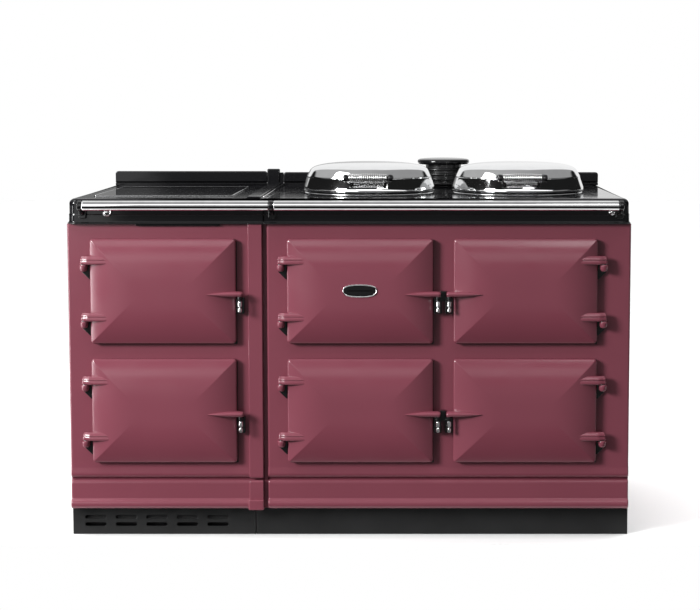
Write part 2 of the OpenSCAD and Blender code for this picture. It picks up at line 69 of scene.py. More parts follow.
class Mat:
    """One node material with a principled shader and object-space coordinates in metres."""

    def __init__(self, name, color, metallic=0.0, rough=0.4, coat=0.0, coat_rough=0.03, spec=0.5, ior=1.5):
        self.m = bpy.data.materials.new(name)
        self.m.use_nodes = True
        self.t = self.m.node_tree
        self.p = self.t.nodes["Principled BSDF"]
        self.p.inputs["Base Color"].default_value = color
        self.p.inputs["Metallic"].default_value = metallic
        self.p.inputs["Roughness"].default_value = rough
        self.p.inputs["Coat Weight"].default_value = coat
        self.p.inputs["Coat Roughness"].default_value = coat_rough
        self.p.inputs["Specular IOR Level"].default_value = spec
        self.p.inputs["IOR"].default_value = ior
        self.co = self.n("ShaderNodeTexCoord").outputs["Object"]

    def n(self, kind, **props):
        node = self.t.nodes.new(kind)
        for k, v in props.items():
            setattr(node, k, v)
        return node

    def put(self, sock, v):
        if isinstance(v, bpy.types.NodeSocket):
            self.t.links.new(v, sock)
        else:
            sock.default_value = v

    def noise(self, scale, detail=3.0, rough=0.5, stretch=(1, 1, 1), dist=0.0):
        mp = self.n("ShaderNodeMapping")
        mp.inputs["Scale"].default_value = stretch
        self.put(mp.inputs["Vector"], self.co)
        t = self.n("ShaderNodeTexNoise")
        t.inputs["Scale"].default_value = scale
        t.inputs["Detail"].default_value = detail
        t.inputs["Roughness"].default_value = rough
        t.inputs["Distortion"].default_value = dist
        self.put(t.inputs["Vector"], mp.outputs[0])
        return t.outputs["Fac"]

    def voronoi(self, scale, feature="F1"):
        t = self.n("ShaderNodeTexVoronoi", feature=feature)
        t.inputs["Scale"].default_value = scale
        self.put(t.inputs["Vector"], self.co)
        return t.outputs["Distance"]

    def ramp(self, fac, stops, interp="LINEAR"):
        r = self.n("ShaderNodeValToRGB")
        r.color_ramp.interpolation = interp
        while len(r.color_ramp.elements) < len(stops):
            r.color_ramp.elements.new(0.5)
        for e, (pos, c) in zip(r.color_ramp.elements, stops):
            e.position = pos
            e.color = c if len(c) == 4 else (*c, 1.0)
        self.put(r.inputs["Fac"], fac)
        return r.outputs["Color"]

    def remap(self, v, lo, hi, a=0.0, b=1.0):
        r = self.n("ShaderNodeMapRange")
        for name, x in (("From Min", a), ("From Max", b), ("To Min", lo), ("To Max", hi)):
            r.inputs[name].default_value = x
        self.put(r.inputs["Value"], v)
        return r.outputs["Result"]

    def math(self, op, a, b=0.0):
        r = self.n("ShaderNodeMath", operation=op)
        self.put(r.inputs[0], a)
        self.put(r.inputs[1], b)
        return r.outputs[0]

    def bump(self, height, strength, distance, prev=None):
        b = self.n("ShaderNodeBump")
        b.inputs["Strength"].default_value = strength
        b.inputs["Distance"].default_value = distance
        self.put(b.inputs["Height"], height)
        if prev is not None:
            self.put(b.inputs["Normal"], prev)
        return b.outputs[0]

    def set(self, name, v):
        self.put(self.p.inputs[name], v)


def radial(m, centre):
    """Distance from an upright axis through centre, in metres."""
    v = m.n("ShaderNodeVectorMath", operation="SUBTRACT")
    m.put(v.inputs[0], m.co)
    v.inputs[1].default_value = (centre[0], centre[1], 0)
    s = m.n("ShaderNodeVectorMath", operation="MULTIPLY")
    m.put(s.inputs[0], v.outputs[0])
    s.inputs[1].default_value = (1, 1, 0)
    ln = m.n("ShaderNodeVectorMath", operation="LENGTH")
    m.put(ln.inputs[0], s.outputs[0])
    return ln.outputs["Value"]


def enamel(name, tone, dark, light, rough=0.20, coat=0.0, spec=0.5, wave=0.03):
    """Vitreous enamel: pooled colour, fine speckle, orange peel and a glassy coat."""
    m = Mat(name, tone, rough=rough, coat=coat, coat_rough=0.04, spec=spec)
    pool = m.noise(3.2, 3, 0.45)
    base = m.ramp(pool, [(0.30, dark), (0.52, tone), (0.75, light)])
    speck = m.noise(900, 2, 0.6)
    mix = m.n("ShaderNodeMix", data_type="RGBA", blend_type="MULTIPLY")
    mix.inputs[0].default_value = 0.03
    m.put(mix.inputs[6], base)
    m.put(mix.inputs[7], m.ramp(speck, [(0.35, (0.72, 0.72, 0.72)), (0.6, (1, 1, 1))]))
    m.set("Base Color", mix.outputs[2])
    m.set("Roughness", m.remap(m.noise(14, 4, 0.55), rough * 0.8, rough * 1.3, 0.3, 0.7))
    m.set("Normal", m.bump(m.noise(9, 1, 0.3), wave, 0.004))
    return m.m


def metal(name, color, rough, fine=0.03, streak=(1, 1, 1), scale=60, bump=0.02):
    m = Mat(name, color, metallic=1.0, rough=rough)
    tone = m.noise(scale, 4, 0.6, streak)
    c = color[:3]
    m.set("Base Color", m.ramp(tone, [(0.3, tuple(v * 0.90 for v in c)), (0.7, tuple(min(1, v * 1.04) for v in c))]))
    m.set("Roughness", m.remap(m.noise(scale * 1.7, 4, 0.6, streak), max(0.015, rough - fine), rough + fine, 0.3, 0.7))
    m.set("Normal", m.bump(tone, bump, 0.0004))
    return m.m


ROSE = (0.205, 0.052, 0.075)
M = {}
M["enamel"] = enamel("enamel_rose", (*ROSE, 1), tuple(v * 0.96 for v in ROSE) + (1,), tuple(v * 1.04 for v in ROSE) + (1,))
M["black"] = enamel("enamel_black", (0.006, 0.006, 0.007, 1), (0.004, 0.004, 0.005, 1), (0.006, 0.006, 0.0065, 1), 0.08, 0.0, 0.34, 0.008)
M["chrome"] = metal("chrome", (0.86, 0.865, 0.87, 1), 0.045, 0.02, (1, 1, 1), 45, 0.010)
M["coil"] = metal("spring_steel", (0.80, 0.80, 0.80, 1), 0.12, 0.04, (1, 1, 1), 220, 0.05)
M["steel"] = metal("brushed_steel", (0.56, 0.56, 0.565, 1), 0.30, 0.08, (4, 60, 60), 22, 0.10)
M["zinc"] = metal("zinc_plate", (0.55, 0.56, 0.57, 1), 0.38, 0.10, (1, 1, 1), 120, 0.10)
M["shelf"] = metal("wire_chrome", (0.78, 0.78, 0.78, 1), 0.16, 0.05, (1, 1, 1), 90, 0.03)
M["knob"] = metal("satin_aluminium", (0.66, 0.665, 0.67, 1), 0.26, 0.06, (60, 4, 60), 30, 0.06)
M["trim"] = metal("trim_dark_steel", (0.30, 0.30, 0.305, 1), 0.22, 0.05, (1, 1, 1), 60, 0.03)
M["element"] = metal("oxide_alloy", (0.30, 0.25, 0.22, 1), 0.55, 0.10, (1, 1, 1), 90, 0.3)


def spun(name, centre, color=(0.87, 0.875, 0.88, 1), rough=0.05, pitch=900.0, strength=0.05):
    """Polished metal with faint spinning rings about an upright axis."""
    m = Mat(name, color, metallic=1.0, rough=rough)
    r = radial(m, centre)
    ring = m.math("SINE", m.math("MULTIPLY", r, pitch * 2 * math.pi))
    wob = m.noise(38, 3, 0.5)
    m.set("Base Color", m.ramp(wob, [(0.3, tuple(v * 0.95 for v in color[:3])), (0.7, color[:3])]))
    m.set("Roughness", m.remap(m.noise(26, 4, 0.6), rough - 0.02, rough + 0.03, 0.3, 0.7))
    m.set("Normal", m.bump(ring, strength, 0.00005, m.bump(m.noise(7, 1.0, 0.3), 0.02, 0.004)))
    return m.m


M["lid"] = [spun("lid_chrome_%d" % i, (CX[i] / 1000, CY / 1000), strength=0.04) for i in (0, 1)]


def machined(name, centre):
    """Dark cast iron turned flat: grooves, oxide blotches and bright wear."""
    m = Mat(name, (0.05, 0.05, 0.05, 1), metallic=0.85, rough=0.42)
    r = radial(m, centre)
    ring = m.math("SINE", m.math("MULTIPLY", r, 1400 * 2 * math.pi))
    ox = m.noise(28, 5, 0.6)
    m.set("Base Color", m.ramp(ox, [(0.30, (0.035, 0.033, 0.032)), (0.52, (0.085, 0.083, 0.082)), (0.75, (0.16, 0.155, 0.15))]))
    m.set("Roughness", m.remap(ox, 0.34, 0.56, 0.3, 0.7))
    m.set("Normal", m.bump(ring, 0.25, 0.0002, m.bump(m.noise(300, 3, 0.6), 0.15, 0.0006)))
    return m.m


M["hotplate"] = [machined("machined_iron_%d" % i, (CX[i] / 1000, CY / 1000)) for i in (0, 1)]


def satin(name, color, rough, grain=600, bump=0.12, spec=0.5, tone=0.25):
    m = Mat(name, (*color, 1), rough=rough, spec=spec)
    g = m.noise(grain, 3, 0.6)
    big = m.noise(7, 3, 0.5)
    c = m.ramp(big, [(0.3, tuple(v * (1 - tone) for v in color)), (0.7, tuple(v * (1 + tone) for v in color))])
    m.set("Base Color", c)
    m.set("Roughness", m.remap(m.noise(40, 4, 0.6), rough - 0.07, rough + 0.07, 0.3, 0.7))
    m.set("Normal", m.bump(g, bump, 0.0003))
    return m.m


M["plinth"] = satin("plinth_satin_black", (0.0085, 0.0088, 0.009), 0.42, spec=0.25)
M["iron"] = satin("hinge_iron_black", (0.010, 0.010, 0.0105), 0.30, 500, 0.20)
M["bracket"] = satin("bracket_gloss_black", (0.006, 0.006, 0.0065), 0.16, 400, 0.08)
M["panel"] = satin("panel_satin_black", (0.012, 0.012, 0.013), 0.36)
M["plastic"] = satin("moulded_plastic", (0.016, 0.016, 0.017), 0.55, 1500, 0.35)
M["ink"] = satin("printed_marks", (0.60, 0.60, 0.58), 0.45, 900, 0.05)
M["packing"] = satin("mineral_wool", (0.50, 0.42, 0.26), 0.95, 260, 1.0, 0.2)


def oven_enamel():
    """Dark oven enamel with pale speckles and baked-on haze."""
    m = Mat("oven_speckle", (0.03, 0.03, 0.034, 1), rough=0.30, coat=0.4, coat_rough=0.1)
    sp = m.voronoi(420)
    c = m.ramp(sp, [(0.0, (0.30, 0.30, 0.31)), (0.13, (0.035, 0.036, 0.042)), (0.6, (0.020, 0.020, 0.024))])
    m.set("Base Color", c)
    m.set("Roughness", m.remap(m.noise(18, 4, 0.6), 0.22, 0.48, 0.3, 0.7))
    m.set("Normal", m.bump(m.noise(160, 3, 0.5), 0.25, 0.0007))
    return m.m


M["oven"] = oven_enamel()


def hob_glass():
    """Black ceramic glass with two printed cooking zones and a row of control marks."""
    m = Mat("ceramic_glass", (0.004, 0.004, 0.005, 1), rough=0.05, coat=1.0, coat_rough=0.02, spec=0.6)
    gx = (GX0 + GX1) / 2000
    marks = None
    for cy, rad in ((GY0 + 130, 86), (GY0 + 330, 106)):
        r = radial(m, (gx, cy / 1000))
        for rr in (rad, rad - 5):
            d = m.math("ABSOLUTE", m.math("SUBTRACT", r, rr / 1000))
            hit = m.math("LESS_THAN", d, 0.0007)
            marks = hit if marks is None else m.math("MAXIMUM", marks, hit)
    dots = m.voronoi(240)
    base = m.ramp(dots, [(0.0, (0.020, 0.020, 0.022)), (0.25, (0.0045, 0.0045, 0.005)), (1.0, (0.003, 0.003, 0.0035))])
    mix = m.n("ShaderNodeMix", data_type="RGBA")
    m.put(mix.inputs[0], marks)
    m.put(mix.inputs[6], base)
    mix.inputs[7].default_value = (0.16, 0.16, 0.16, 1)
    m.set("Base Color", mix.outputs[2])
    m.set("Roughness", m.remap(m.noise(30, 4, 0.6), 0.03, 0.07, 0.3, 0.7))
    return m.m


M["glass"] = hob_glass()


# ------------------------------------------------------------------ mesh helpers
def build(name, verts, faces, mat, body, replaces=(), sharp=38, mats=None, face_mats=None, recalc=True):
    me = bpy.data.meshes.new(name)
    bm = bmesh.new()
    vs = [bm.verts.new((x / 1000, y / 1000, z / 1000)) for x, y, z in verts]
    bm.verts.ensure_lookup_table()
    for k, f in enumerate(faces):
        try:
            fc = bm.faces.new([vs[i] for i in f])
            fc.smooth = True
            if face_mats:
                fc.material_index = face_mats[k]
        except ValueError:
            pass
    bmesh.ops.remove_doubles(bm, verts=bm.verts, dist=1e-6)
    bmesh.ops.dissolve_degenerate(bm, dist=1e-7, edges=bm.edges)
    if recalc:
        bmesh.ops.recalc_face_normals(bm, faces=bm.faces)
    lim = math.radians(sharp)
    for e in bm.edges:
        if len(e.link_faces) == 2 and e.calc_face_angle(0) > lim:
            e.smooth = False
    bm.to_mesh(me)
    bm.free()
    ob = bpy.data.objects.new(name, me)
    bpy.context.collection.objects.link(ob)
    for m in (mats or [mat]):
        me.materials.append(m)
    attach(ob, body)
    if replaces:
        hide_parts(*replaces)
    # big faces keep their own flat normal, so a rounded rim doesn't tint the whole panel
    wn = ob.modifiers.new("weighted", "WEIGHTED_NORMAL")
    wn.keep_sharp, wn.weight = True, 60
    return ob


class Geo:
    """Collects vertices and faces of several closed shells for one object."""

    def __init__(self):
        self.v, self.f, self.m = [], [], []
        self.cur = 0

    def add(self, verts, faces):
        k = len(self.v)
        self.v += [tuple(p) for p in verts]
        self.f += [tuple(k + i for i in f) for f in faces]
        self.m += [self.cur] * len(faces)
        return self

    def loft(self, rings, cap0=True, cap1=True, closed=True):
        n = len(rings[0])
        verts = [p for r in rings for p in r]
        faces = []
        for i in range(len(rings) - 1):
            for j in range(n if closed else n - 1):
                a, b = i * n + j, i * n + (j + 1) % n
                faces.append((a, b, b + n, a + n))
        if cap0:
            faces.append(tuple(range(n - 1, -1, -1)))
        if cap1:
            faces.append(tuple((len(rings) - 1) * n + j for j in range(n)))
        return self.add(verts, faces)

    def lathe(self, prof, centre, axis="z", seg=96):
        """prof: (radius, height along the axis from centre). A radius of 0 closes to a pole."""
        cx, cy, cz = centre
        rings = []
        for r, h in prof:
            r = max(r, 0.0)
            ring = []
            for j in range(seg):
                a = 2 * math.pi * j / seg
                c, s = r * math.cos(a), r * math.sin(a)
                ring.append({"z": (cx + c, cy + s, cz + h), "x": (cx + h, cy + c, cz + s), "y": (cx + c, cy + h, cz + s)}[axis])
            rings.append(ring)
        return self.loft(rings, prof[0][0] > 0, prof[-1][0] > 0)

    def rod(self, p0, p1, r, bevel=1.0, seg=32):
        """Straight round bar with rounded rims between two points."""
        a, b = Vector(p0), Vector(p1)
        d = (b - a).normalized()
        u = d.orthogonal().normalized()
        w = d.cross(u)
        length = (b - a).length
        bevel = min(bevel, r * 0.95, length / 2.05)
        prof = [(r - bevel + bevel * math.sin(t), bevel - bevel * math.cos(t)) for t in (0, .39, .79, 1.18, math.pi / 2)]
        prof += [(x, length - h) for x, h in reversed(prof)]
        rings = [[a + d * h + (u * math.cos(2 * math.pi * j / seg) + w * math.sin(2 * math.pi * j / seg)) * x for j in range(seg)] for x, h in prof]
        return self.loft(rings)

    def slab(self, outer, prof, holes=(), mapf=None):
        """outer: polygon (counter-clockwise). prof: (inset, depth) pairs. holes: [(polygon, prof)]."""
        mapf = mapf or (lambda a, b, d: (a, b, d))
        rings = [[mapf(a, b, d) for a, b in inset(outer, t)] for t, d in prof]
        hole_rings = [[[mapf(a, b, d) for a, b in inset(h, -t)] for t, d in hp] for h, hp in holes]
        self.loft(rings, not holes, not holes)
        for hr in hole_rings:
            self.loft(hr, False, False)
        if holes:
            for end in (0, -1):
                loops = [rings[end]] + [hr[end] for hr in hole_rings]
                flat = [p for lp in loops for p in lp]
                tri = tessellate_polygon([[Vector(p) for p in lp] for lp in loops])
                self.add(flat, [tuple(t) for t in tri])
        return self

    def box(self, x0, x1, y0, y1, z0, z1, bevel=1.5, seg=3):
        """Block with every edge rounded."""
        r = min(bevel, (x1 - x0) / 2.01, (y1 - y0) / 2.01, (z1 - z0) / 2.01)
        prof = bevel_prof(z0, z1, r, r, seg)
        return self.slab(rrect(x0, x1, y0, y1, max(r, 0.01) * 1.001, seg), prof)

    def done(self, name, mat, body, slot, replaces=(), sharp=38, mats=None, recalc=True):
        return build(name, self.v, self.f, mat, body, replaces, sharp, mats, self.m if mats else None, recalc)


def rrect(x0, x1, y0, y1, r, n=6):
    out = []
    for cx, cy, a0 in ((x1 - r, y1 - r, 0), (x0 + r, y1 - r, 90), (x0 + r, y0 + r, 180), (x1 - r, y0 + r, 270)):
        for k in range(n + 1):
            a = math.radians(a0 + 90 * k / n)
            out.append((cx + r * math.cos(a), cy + r * math.sin(a)))
    return out


def rrect4(x0, x1, y0, y1, r00, r10, r11, r01, n=6):
    """Rectangle with its own radius at each corner: (x0,y0), (x1,y0), (x1,y1), (x0,y1)."""
    out = []
    for cx, cy, a0, r in ((x1, y1, 0, r11), (x0, y1, 90, r01), (x0, y0, 180, r00), (x1, y0, 270, r10)):
        ox = cx - r if a0 in (0, 270) else cx + r
        oy = cy - r if a0 in (0, 90) else cy + r
        for k in range(n + 1):
            a = math.radians(a0 + 90 * k / n)
            out.append((ox + r * math.cos(a), oy + r * math.sin(a)))
    return out


def circle(cx, cy, r, n=96):
    return [(cx + r * math.cos(2 * math.pi * k / n), cy + r * math.sin(2 * math.pi * k / n)) for k in range(n)]


def inset(poly, t):
    """Moves a counter-clockwise polygon's outline inwards by t."""
    if abs(t) < 1e-9:
        return list(poly)
    n, out = len(poly), []
    for i in range(n):
        a, b, c = poly[i - 1], poly[i], poly[(i + 1) % n]
        e0 = Vector((b[0] - a[0], b[1] - a[1]))
        e1 = Vector((c[0] - b[0], c[1] - b[1]))
        if e0.length < 1e-9:
            e0 = e1
        if e1.length < 1e-9:
            e1 = e0
        e0.normalize()
        e1.normalize()
        n0, n1 = Vector((-e0.y, e0.x)), Vector((-e1.y, e1.x))
        m = n0 + n1
        if m.length < 1e-6:
            m = n0
        m.normalize()
        s = t / max(0.3, m.dot(n0))
        out.append((b[0] + m.x * s, b[1] + m.y * s))
    return out


def bevel_prof(d0, d1, b0, b1, n=4):
    """(inset, depth) from one face to the other with rounded rims."""
    s = 1 if d1 > d0 else -1
    out = []
    if b0 > 0:
        out += [(b0 * (1 - math.sin(math.pi / 2 * k / n)), d0 + s * b0 * (1 - math.cos(math.pi / 2 * k / n))) for k in range(n + 1)]
    else:
        out.append((0, d0))
    if b1 > 0:
        out += [(b1 * (1 - math.cos(math.pi / 2 * k / n)), d1 - s * b1 * (1 - math.sin(math.pi / 2 * k / n))) for k in range(n + 1)]
    else:
        out.append((0, d1))
    # supporting rings keep the big flat faces flat when shaded smooth
    if b0 > 0:
        out.insert(0, (b0 + 1.0, d0))
    if b1 > 0:
        out.append((b1 + 1.0, d1))
    return out


def xz(a, b, d):
    return (a, d, b)


ROOT = "cooker"

# ------------------------------------------------------------------ camera
cam_data = bpy.data.cameras.new("camera")
cam = bpy.data.objects.new("camera", cam_data)
bpy.context.collection.objects.link(cam)
bpy.context.scene.camera = cam
FOCAL = 1547.7
cam_data.sensor_fit = "HORIZONTAL"
cam_data.sensor_width = 36.0
cam_data.lens = FOCAL / 700 * 36.0
cam_data.clip_end = 60
SHIFT_Y = -0.105
cam_data.shift_x = -0.0746
cam_data.shift_y = SHIFT_Y
cam.location = (0.1387, -4.3361, 1.1452)
pitch = 0.0822
cam.rotation_euler = (math.pi / 2 - pitch, 0, 0)

# ------------------------------------------------------------------ stage and light
floor_m = Mat("floor_pale", (0.91, 0.91, 0.91, 1), rough=0.8, spec=0.1)
floor_m.set("Base Color", floor_m.ramp(floor_m.noise(1.3, 2, 0.5), [(0.3, (0.905, 0.905, 0.905)), (0.7, (0.92, 0.92, 0.92))]))
floor_me = bpy.data.meshes.new("floor")
floor_me.from_pydata([(-14, -0.38, 0), (14, -0.38, 0), (14, 14, 0), (-14, 14, 0)], [], [(0, 1, 2, 3)])
floor_me.materials.append(floor_m.m)
floor = bpy.data.objects.new("floor", floor_me)
bpy.context.collection.objects.link(floor)


def area(name, loc, target, sx, sy, radiance, color=(1, 1, 1)):
    """Soft box that gives the stated radiance, unseen by the camera itself."""
    ld = bpy.data.lights.new(name, "AREA")
    ld.shape = "RECTANGLE"
    ld.size, ld.size_y, ld.color = sx, sy, color
    ld.energy = radiance * math.pi * sx * sy
    ob = bpy.data.objects.new(name, ld)
    bpy.context.collection.objects.link(ob)
    ob.location = loc
    ob.rotation_euler = (Vector(target) - Vector(loc)).to_track_quat("-Z", "Y").to_euler()
    ob.visible_camera = False
    return ob


def toward(az, el, dist, centre=(0.0, -0.2, 0.9)):
    """Place at an azimuth to the left of the front, an elevation and a distance from the cooker."""
    a, e = math.radians(az), math.radians(el)
    return (centre[0] - math.sin(a) * math.cos(e) * dist, centre[1] - math.cos(a) * math.cos(e) * dist, centre[2] + math.sin(e) * dist)


area("key_left", toward(52.4, 21.6, 6.2, (0, -0.3, 0.5)), (0.0, -0.3, 0.5), 1.7, 1.7, 54.0)
area("veil_left", toward(31, 10, 4.4, (0, -0.3, 0.6)), (0.0, -0.3, 0.6), 2.0, 2.0, 1.2)
area("lid_box", toward(70, 45, 3.0), (0.1, 0.0, 0.93), 1.15, 1.15, 5.0)
# reflector cards: they show in the chrome and the enamel's gloss and throw no light of their own
for name, loc, at, sx, sy, radiance in (
        ("card_front", (0.1, -6.0, 2.97), (0.1, -0.37, 2.97), 4.8, 1.42, 1.1),
        ("card_rail", (0.05, -0.62, 1.03), (0.05, -0.30, 0.88), 2.6, 0.07, 2.0),
        ("card_side", (-2.80, -1.30, 0.40), (0.0, -0.33, 0.40), 0.50, 0.80, 11.0),
        ("card_edge", (-1.42, -0.52, 0.42), (-0.2, -0.45, 0.42), 0.30, 0.74, 7.0),
        ("card_lid", toward(-28, 34, 3.0), (0.1, 0.0, 0.93), 0.9, 0.40, 4.0)):
    area(name, loc, at, sx, sy, radiance).visible_diffuse = False

area("floor_wash", (2.6, 1.2, 2.4), (2.2, 1.2, 0.0), 2.6, 2.6, 1.6).visible_glossy = False

sun_data = bpy.data.lights.new("overhead", "SUN")
sun_data.energy, sun_data.angle = 2.2, math.radians(70)
sun = bpy.data.objects.new("overhead", sun_data)
bpy.context.collection.objects.link(sun)
sun.visible_glossy = False

# pale wall behind, grey ceiling and a low band in front in an otherwise dark studio: what the chrome and enamel mirror
world = bpy.data.worlds.new("studio")
bpy.context.scene.world = world
world.use_nodes = True
wt = world.node_tree
bg = wt.nodes["Background"]


def wnode(kind, **props):
    node = wt.nodes.new(kind)
    for k, v in props.items():
        setattr(node, k, v)
    return node


def wrange(sock, a, b, lo, hi):
    r = wnode("ShaderNodeMapRange", interpolation_type="SMOOTHSTEP")
    for key_, v in (("From Min", a), ("From Max", b), ("To Min", lo), ("To Max", hi)):
        r.inputs[key_].default_value = v
    wt.links.new(sock, r.inputs["Value"])
    return r.outputs["Result"]


def wmix(fac, a, b):
    r = wnode("ShaderNodeMix")
    for sock, v in ((r.inputs[0], fac), (r.inputs[2], a), (r.inputs[3], b)):
        if isinstance(v, bpy.types.NodeSocket):
            wt.links.new(v, sock)
        else:
            sock.default_value = v
    return r.outputs[0]


def wop(op, a, b=0.0):
    r = wnode("ShaderNodeMath", operation=op)
    for sock, v in ((r.inputs[0], a), (r.inputs[1], b)):
        if isinstance(v, bpy.types.NodeSocket):
            wt.links.new(v, sock)
        else:
            sock.default_value = v
    return r.outputs[0]


sep = wnode("ShaderNodeSeparateXYZ")
wt.links.new(wnode("ShaderNodeTexCoord").outputs["Generated"], sep.inputs[0])
dx, dy, dz = sep.outputs["X"], sep.outputs["Y"], sep.outputs["Z"]
low_band = wop("MULTIPLY", wop("MULTIPLY", wrange(dz, -0.30, -0.22, 0.0, 0.20), wrange(dz, 0.10, 0.16, 1.0, 0.0)), wrange(dy, -0.2, 0.3, 1.0, 0.0))
straight_down = wrange(dz, -0.93, -0.85, 0.95, 0.0)
low_band = wop("MAXIMUM", low_band, straight_down)
edge = wrange(dy, -0.75, 0.50, 0.60, 0.34)
ceiling = wop("MULTIPLY", wrange(wop("SUBTRACT", dz, edge), 0.0, 0.07, 0.0, 1.0), wrange(dx, -0.7, 0.7, 0.46, 0.32))
sector = wrange(wop("SUBTRACT", wop("MULTIPLY", dy, 0.75), wop("ABSOLUTE", dx)), -0.05, 0.07, 0.0, 1.0)
wall = wmix(wrange(dz, 0.09, 0.15, 0.0, 1.0), wrange(dx, -0.20, 0.12, 0.22, 0.90), 0.95)
wall = wop("MULTIPLY", wop("MULTIPLY", wall, sector), wrange(dz, 0.92, 0.96, 1.0, 0.45))
level = wop("MAXIMUM", wop("MAXIMUM", low_band, ceiling), wop("MAXIMUM", wall, 0.012))
wt.links.new(wmix(wnode("ShaderNodeLightPath").outputs["Is Camera Ray"], level, 1.0), bg.inputs["Strength"])
bg.inputs["Color"].default_value = (1, 1, 1, 1)
bpy.context.scene.view_settings.view_transform = "Standard"
bpy.context.scene.view_settings.look = "None"
bpy.context.scene.view_settings.exposure = 0.0


# ------------------------------------------------------------------ doors
def door(key):
    hx, w, z0, side = DOORS[key]
    g = Geo()

    def put(x, y, z):
        return (hx + side * x, y, z0 + z)

    # pillow-hipped casting: nested outlines from the rounded edge to the crown
    crown, reach, power = DOOR_T - EDGE, 118.0, 2.5

    def out(t, y):
        r = max(9.0 - t, 1.6)
        return [put(a, y, b) for a, b in rrect(t, w - t, t, DOOR_H - t, r, 8)]

    rings = [out(4.0, Y_DOOR), out(2.6, Y_DOOR), out(0.8, Y_DOOR - 0.8), out(0, Y_DOOR - 2.6)]
    r = 5.5
    for k in range(7):
        a = math.radians(62) * k / 6
        rings.append(out(r * (1 - math.cos(a)), Y_DOOR - (EDGE - r) - r * math.sin(a)))
    t0, d0 = r * (1 - math.cos(math.radians(62))), EDGE - r + r * math.sin(math.radians(62))
    for t in (4.5, 7, 10, 14, 19, 25, 32, 40, 49, 59, 70, 82, 94, 106, 118, 124):
        u = min(1.0, (t - t0) / (reach - t0))
        rings.append(out(t, Y_DOOR - d0 - (DOOR_T - d0) * (1 - (1 - u) ** power)))
    g.loft(rings)

    # hinge lugs: flat-topped ribs that run out of the rising face
    for lz in LUGS:
        end = [(-HOFF - 8.4 * abs(math.cos(q)) ** 0.6, HINGE_Y + 8.5 * math.copysign(abs(math.sin(q)) ** 0.7, math.sin(q)))
               for q in [math.radians(v) for v in range(90, -91, -15)]]
        plan = [(2.0, Y_DOOR - 5.0), (-6.0, HINGE_Y + 8.5)] + end
        plan += [(-10, HINGE_Y - 11.0), (-2, HINGE_Y - 13.2), (44, HINGE_Y - 14.4), (52, HINGE_Y - 13.6), (55, Y_DOOR - 14.0)]
        plan = list(reversed(plan)) if poly_area(plan) < 0 else plan
        prof = [(5.0, -10.9), (3.2, -10.9), (1.4, -10.2), (0.3, -8.6), (0, -6.4), (0.4, -2.0), (1.5, -0.4), (1.7, 0.6), (0.5, 1.6), (0.2, 2.8), (1.2, 5.0), (2.6, 7.6), (3.9, 9.6), (4.8, 10.6), (5.8, 11), (6.6, 11)]
        g.slab(plan, prof, mapf=lambda a, b, d, lz=lz: put(a, b, lz + d))

    # spear handle
    rings = []
    prof = [(w - 74, 0.4, 38.6, 1.2), (w - 70, 1.2, 39.2, 2.8), (w - 62, 2.4, 40.4, 5.0), (w - 52, 3.9, 41.6, 7.6), (w - 40, 5.3, 42.8, 10.4),
            (w - 27, 6.5, 43.6, 13.0), (w - 12, 7.2, 44.0, 14.8), (w + 2, 7.3, 44.0, 15.6), (w + 11, 7.1, 43.6, 15.0),
            (w + 16, 6.4, 42.8, 13.6), (w + 18.4, 5.0, 41.4, 11.2), (w + 19, 3.0, 38.8, 7.0)]
    zc = 132.0
    for x, a, front, b in prof:
        yc = Y_DOOR - (front - b)
        ring = []
        for k in range(28):
            t = 2 * math.pi * k / 28
            c, s = math.cos(t), math.sin(t)
            e = 0.82
            cy_ = math.copysign(abs(c) ** e, c) * b
            sz = math.copysign(abs(s) ** e, s) * a * (1.0 if s > 0 else 1.05)
            # the underside is cut back towards the door, so the rib throws a shadow
            if s < 0:
                cy_ *= 1 - 0.16 * abs(s)
            ring.append(put(x, yc - cy_, zc + sz))
        rings.append(ring)
    g.loft(rings)
    # boss that holds the peg
    g.rod(put(w + 12.4, Y_DOOR - DOOR_T + 4, 126.0), put(w + 12.4, Y_DOOR - DOOR_T + 4, 131), 6.2, 1.0, 28)
    g.done("door_casting_" + key, M["enamel"], "door_%s_body" % key, "enamel", ["door_" + key], sharp=52)

    # peg with its groove
    p = Geo()
    c = put(w + 12, Y_DOOR - DOOR_T + 4, 0)
    base = z0
    prof = [(0, 85.4), (3.6, 85.4), (4.7, 85.9), (5.2, 86.9), (5.4, 88.2), (5.4, 94.4), (5.1, 95.4), (4.4, 95.8), (2.6, 96.0), (2.2, 96.6), (2.2, 99.4), (2.6, 99.8), (4.4, 100.0),
            (5.1, 100.4), (5.4, 101.4), (5.4, 111.6), (5.1, 112.8), (4.3, 113.4), (3.2, 113.7), (0, 113.7)]
    p.lathe(prof, (c[0], c[1], base), "z", 40)
    p.done("peg_pin_" + key, M["chrome"], "door_%s_body" % key, "chrome", ["peg_" + key], sharp=50)
    p = Geo()
    p.lathe([(0, 113.0), (3.4, 113.0), (3.6, 113.8), (3.6, 118.8), (5.6, 119.8), (5.6, 127.4), (0, 127.4)], (c[0], c[1], base), "z", 32)
    p.done("peg_shank_" + key, M["bracket"], "door_%s_body" % key, "bracket_black", sharp=50)


def poly_area(p):
    return sum(p[i - 1][0] * p[i][1] - p[i][0] * p[i - 1][1] for i in range(len(p))) / 2


for key in DOORS:
    door(key)


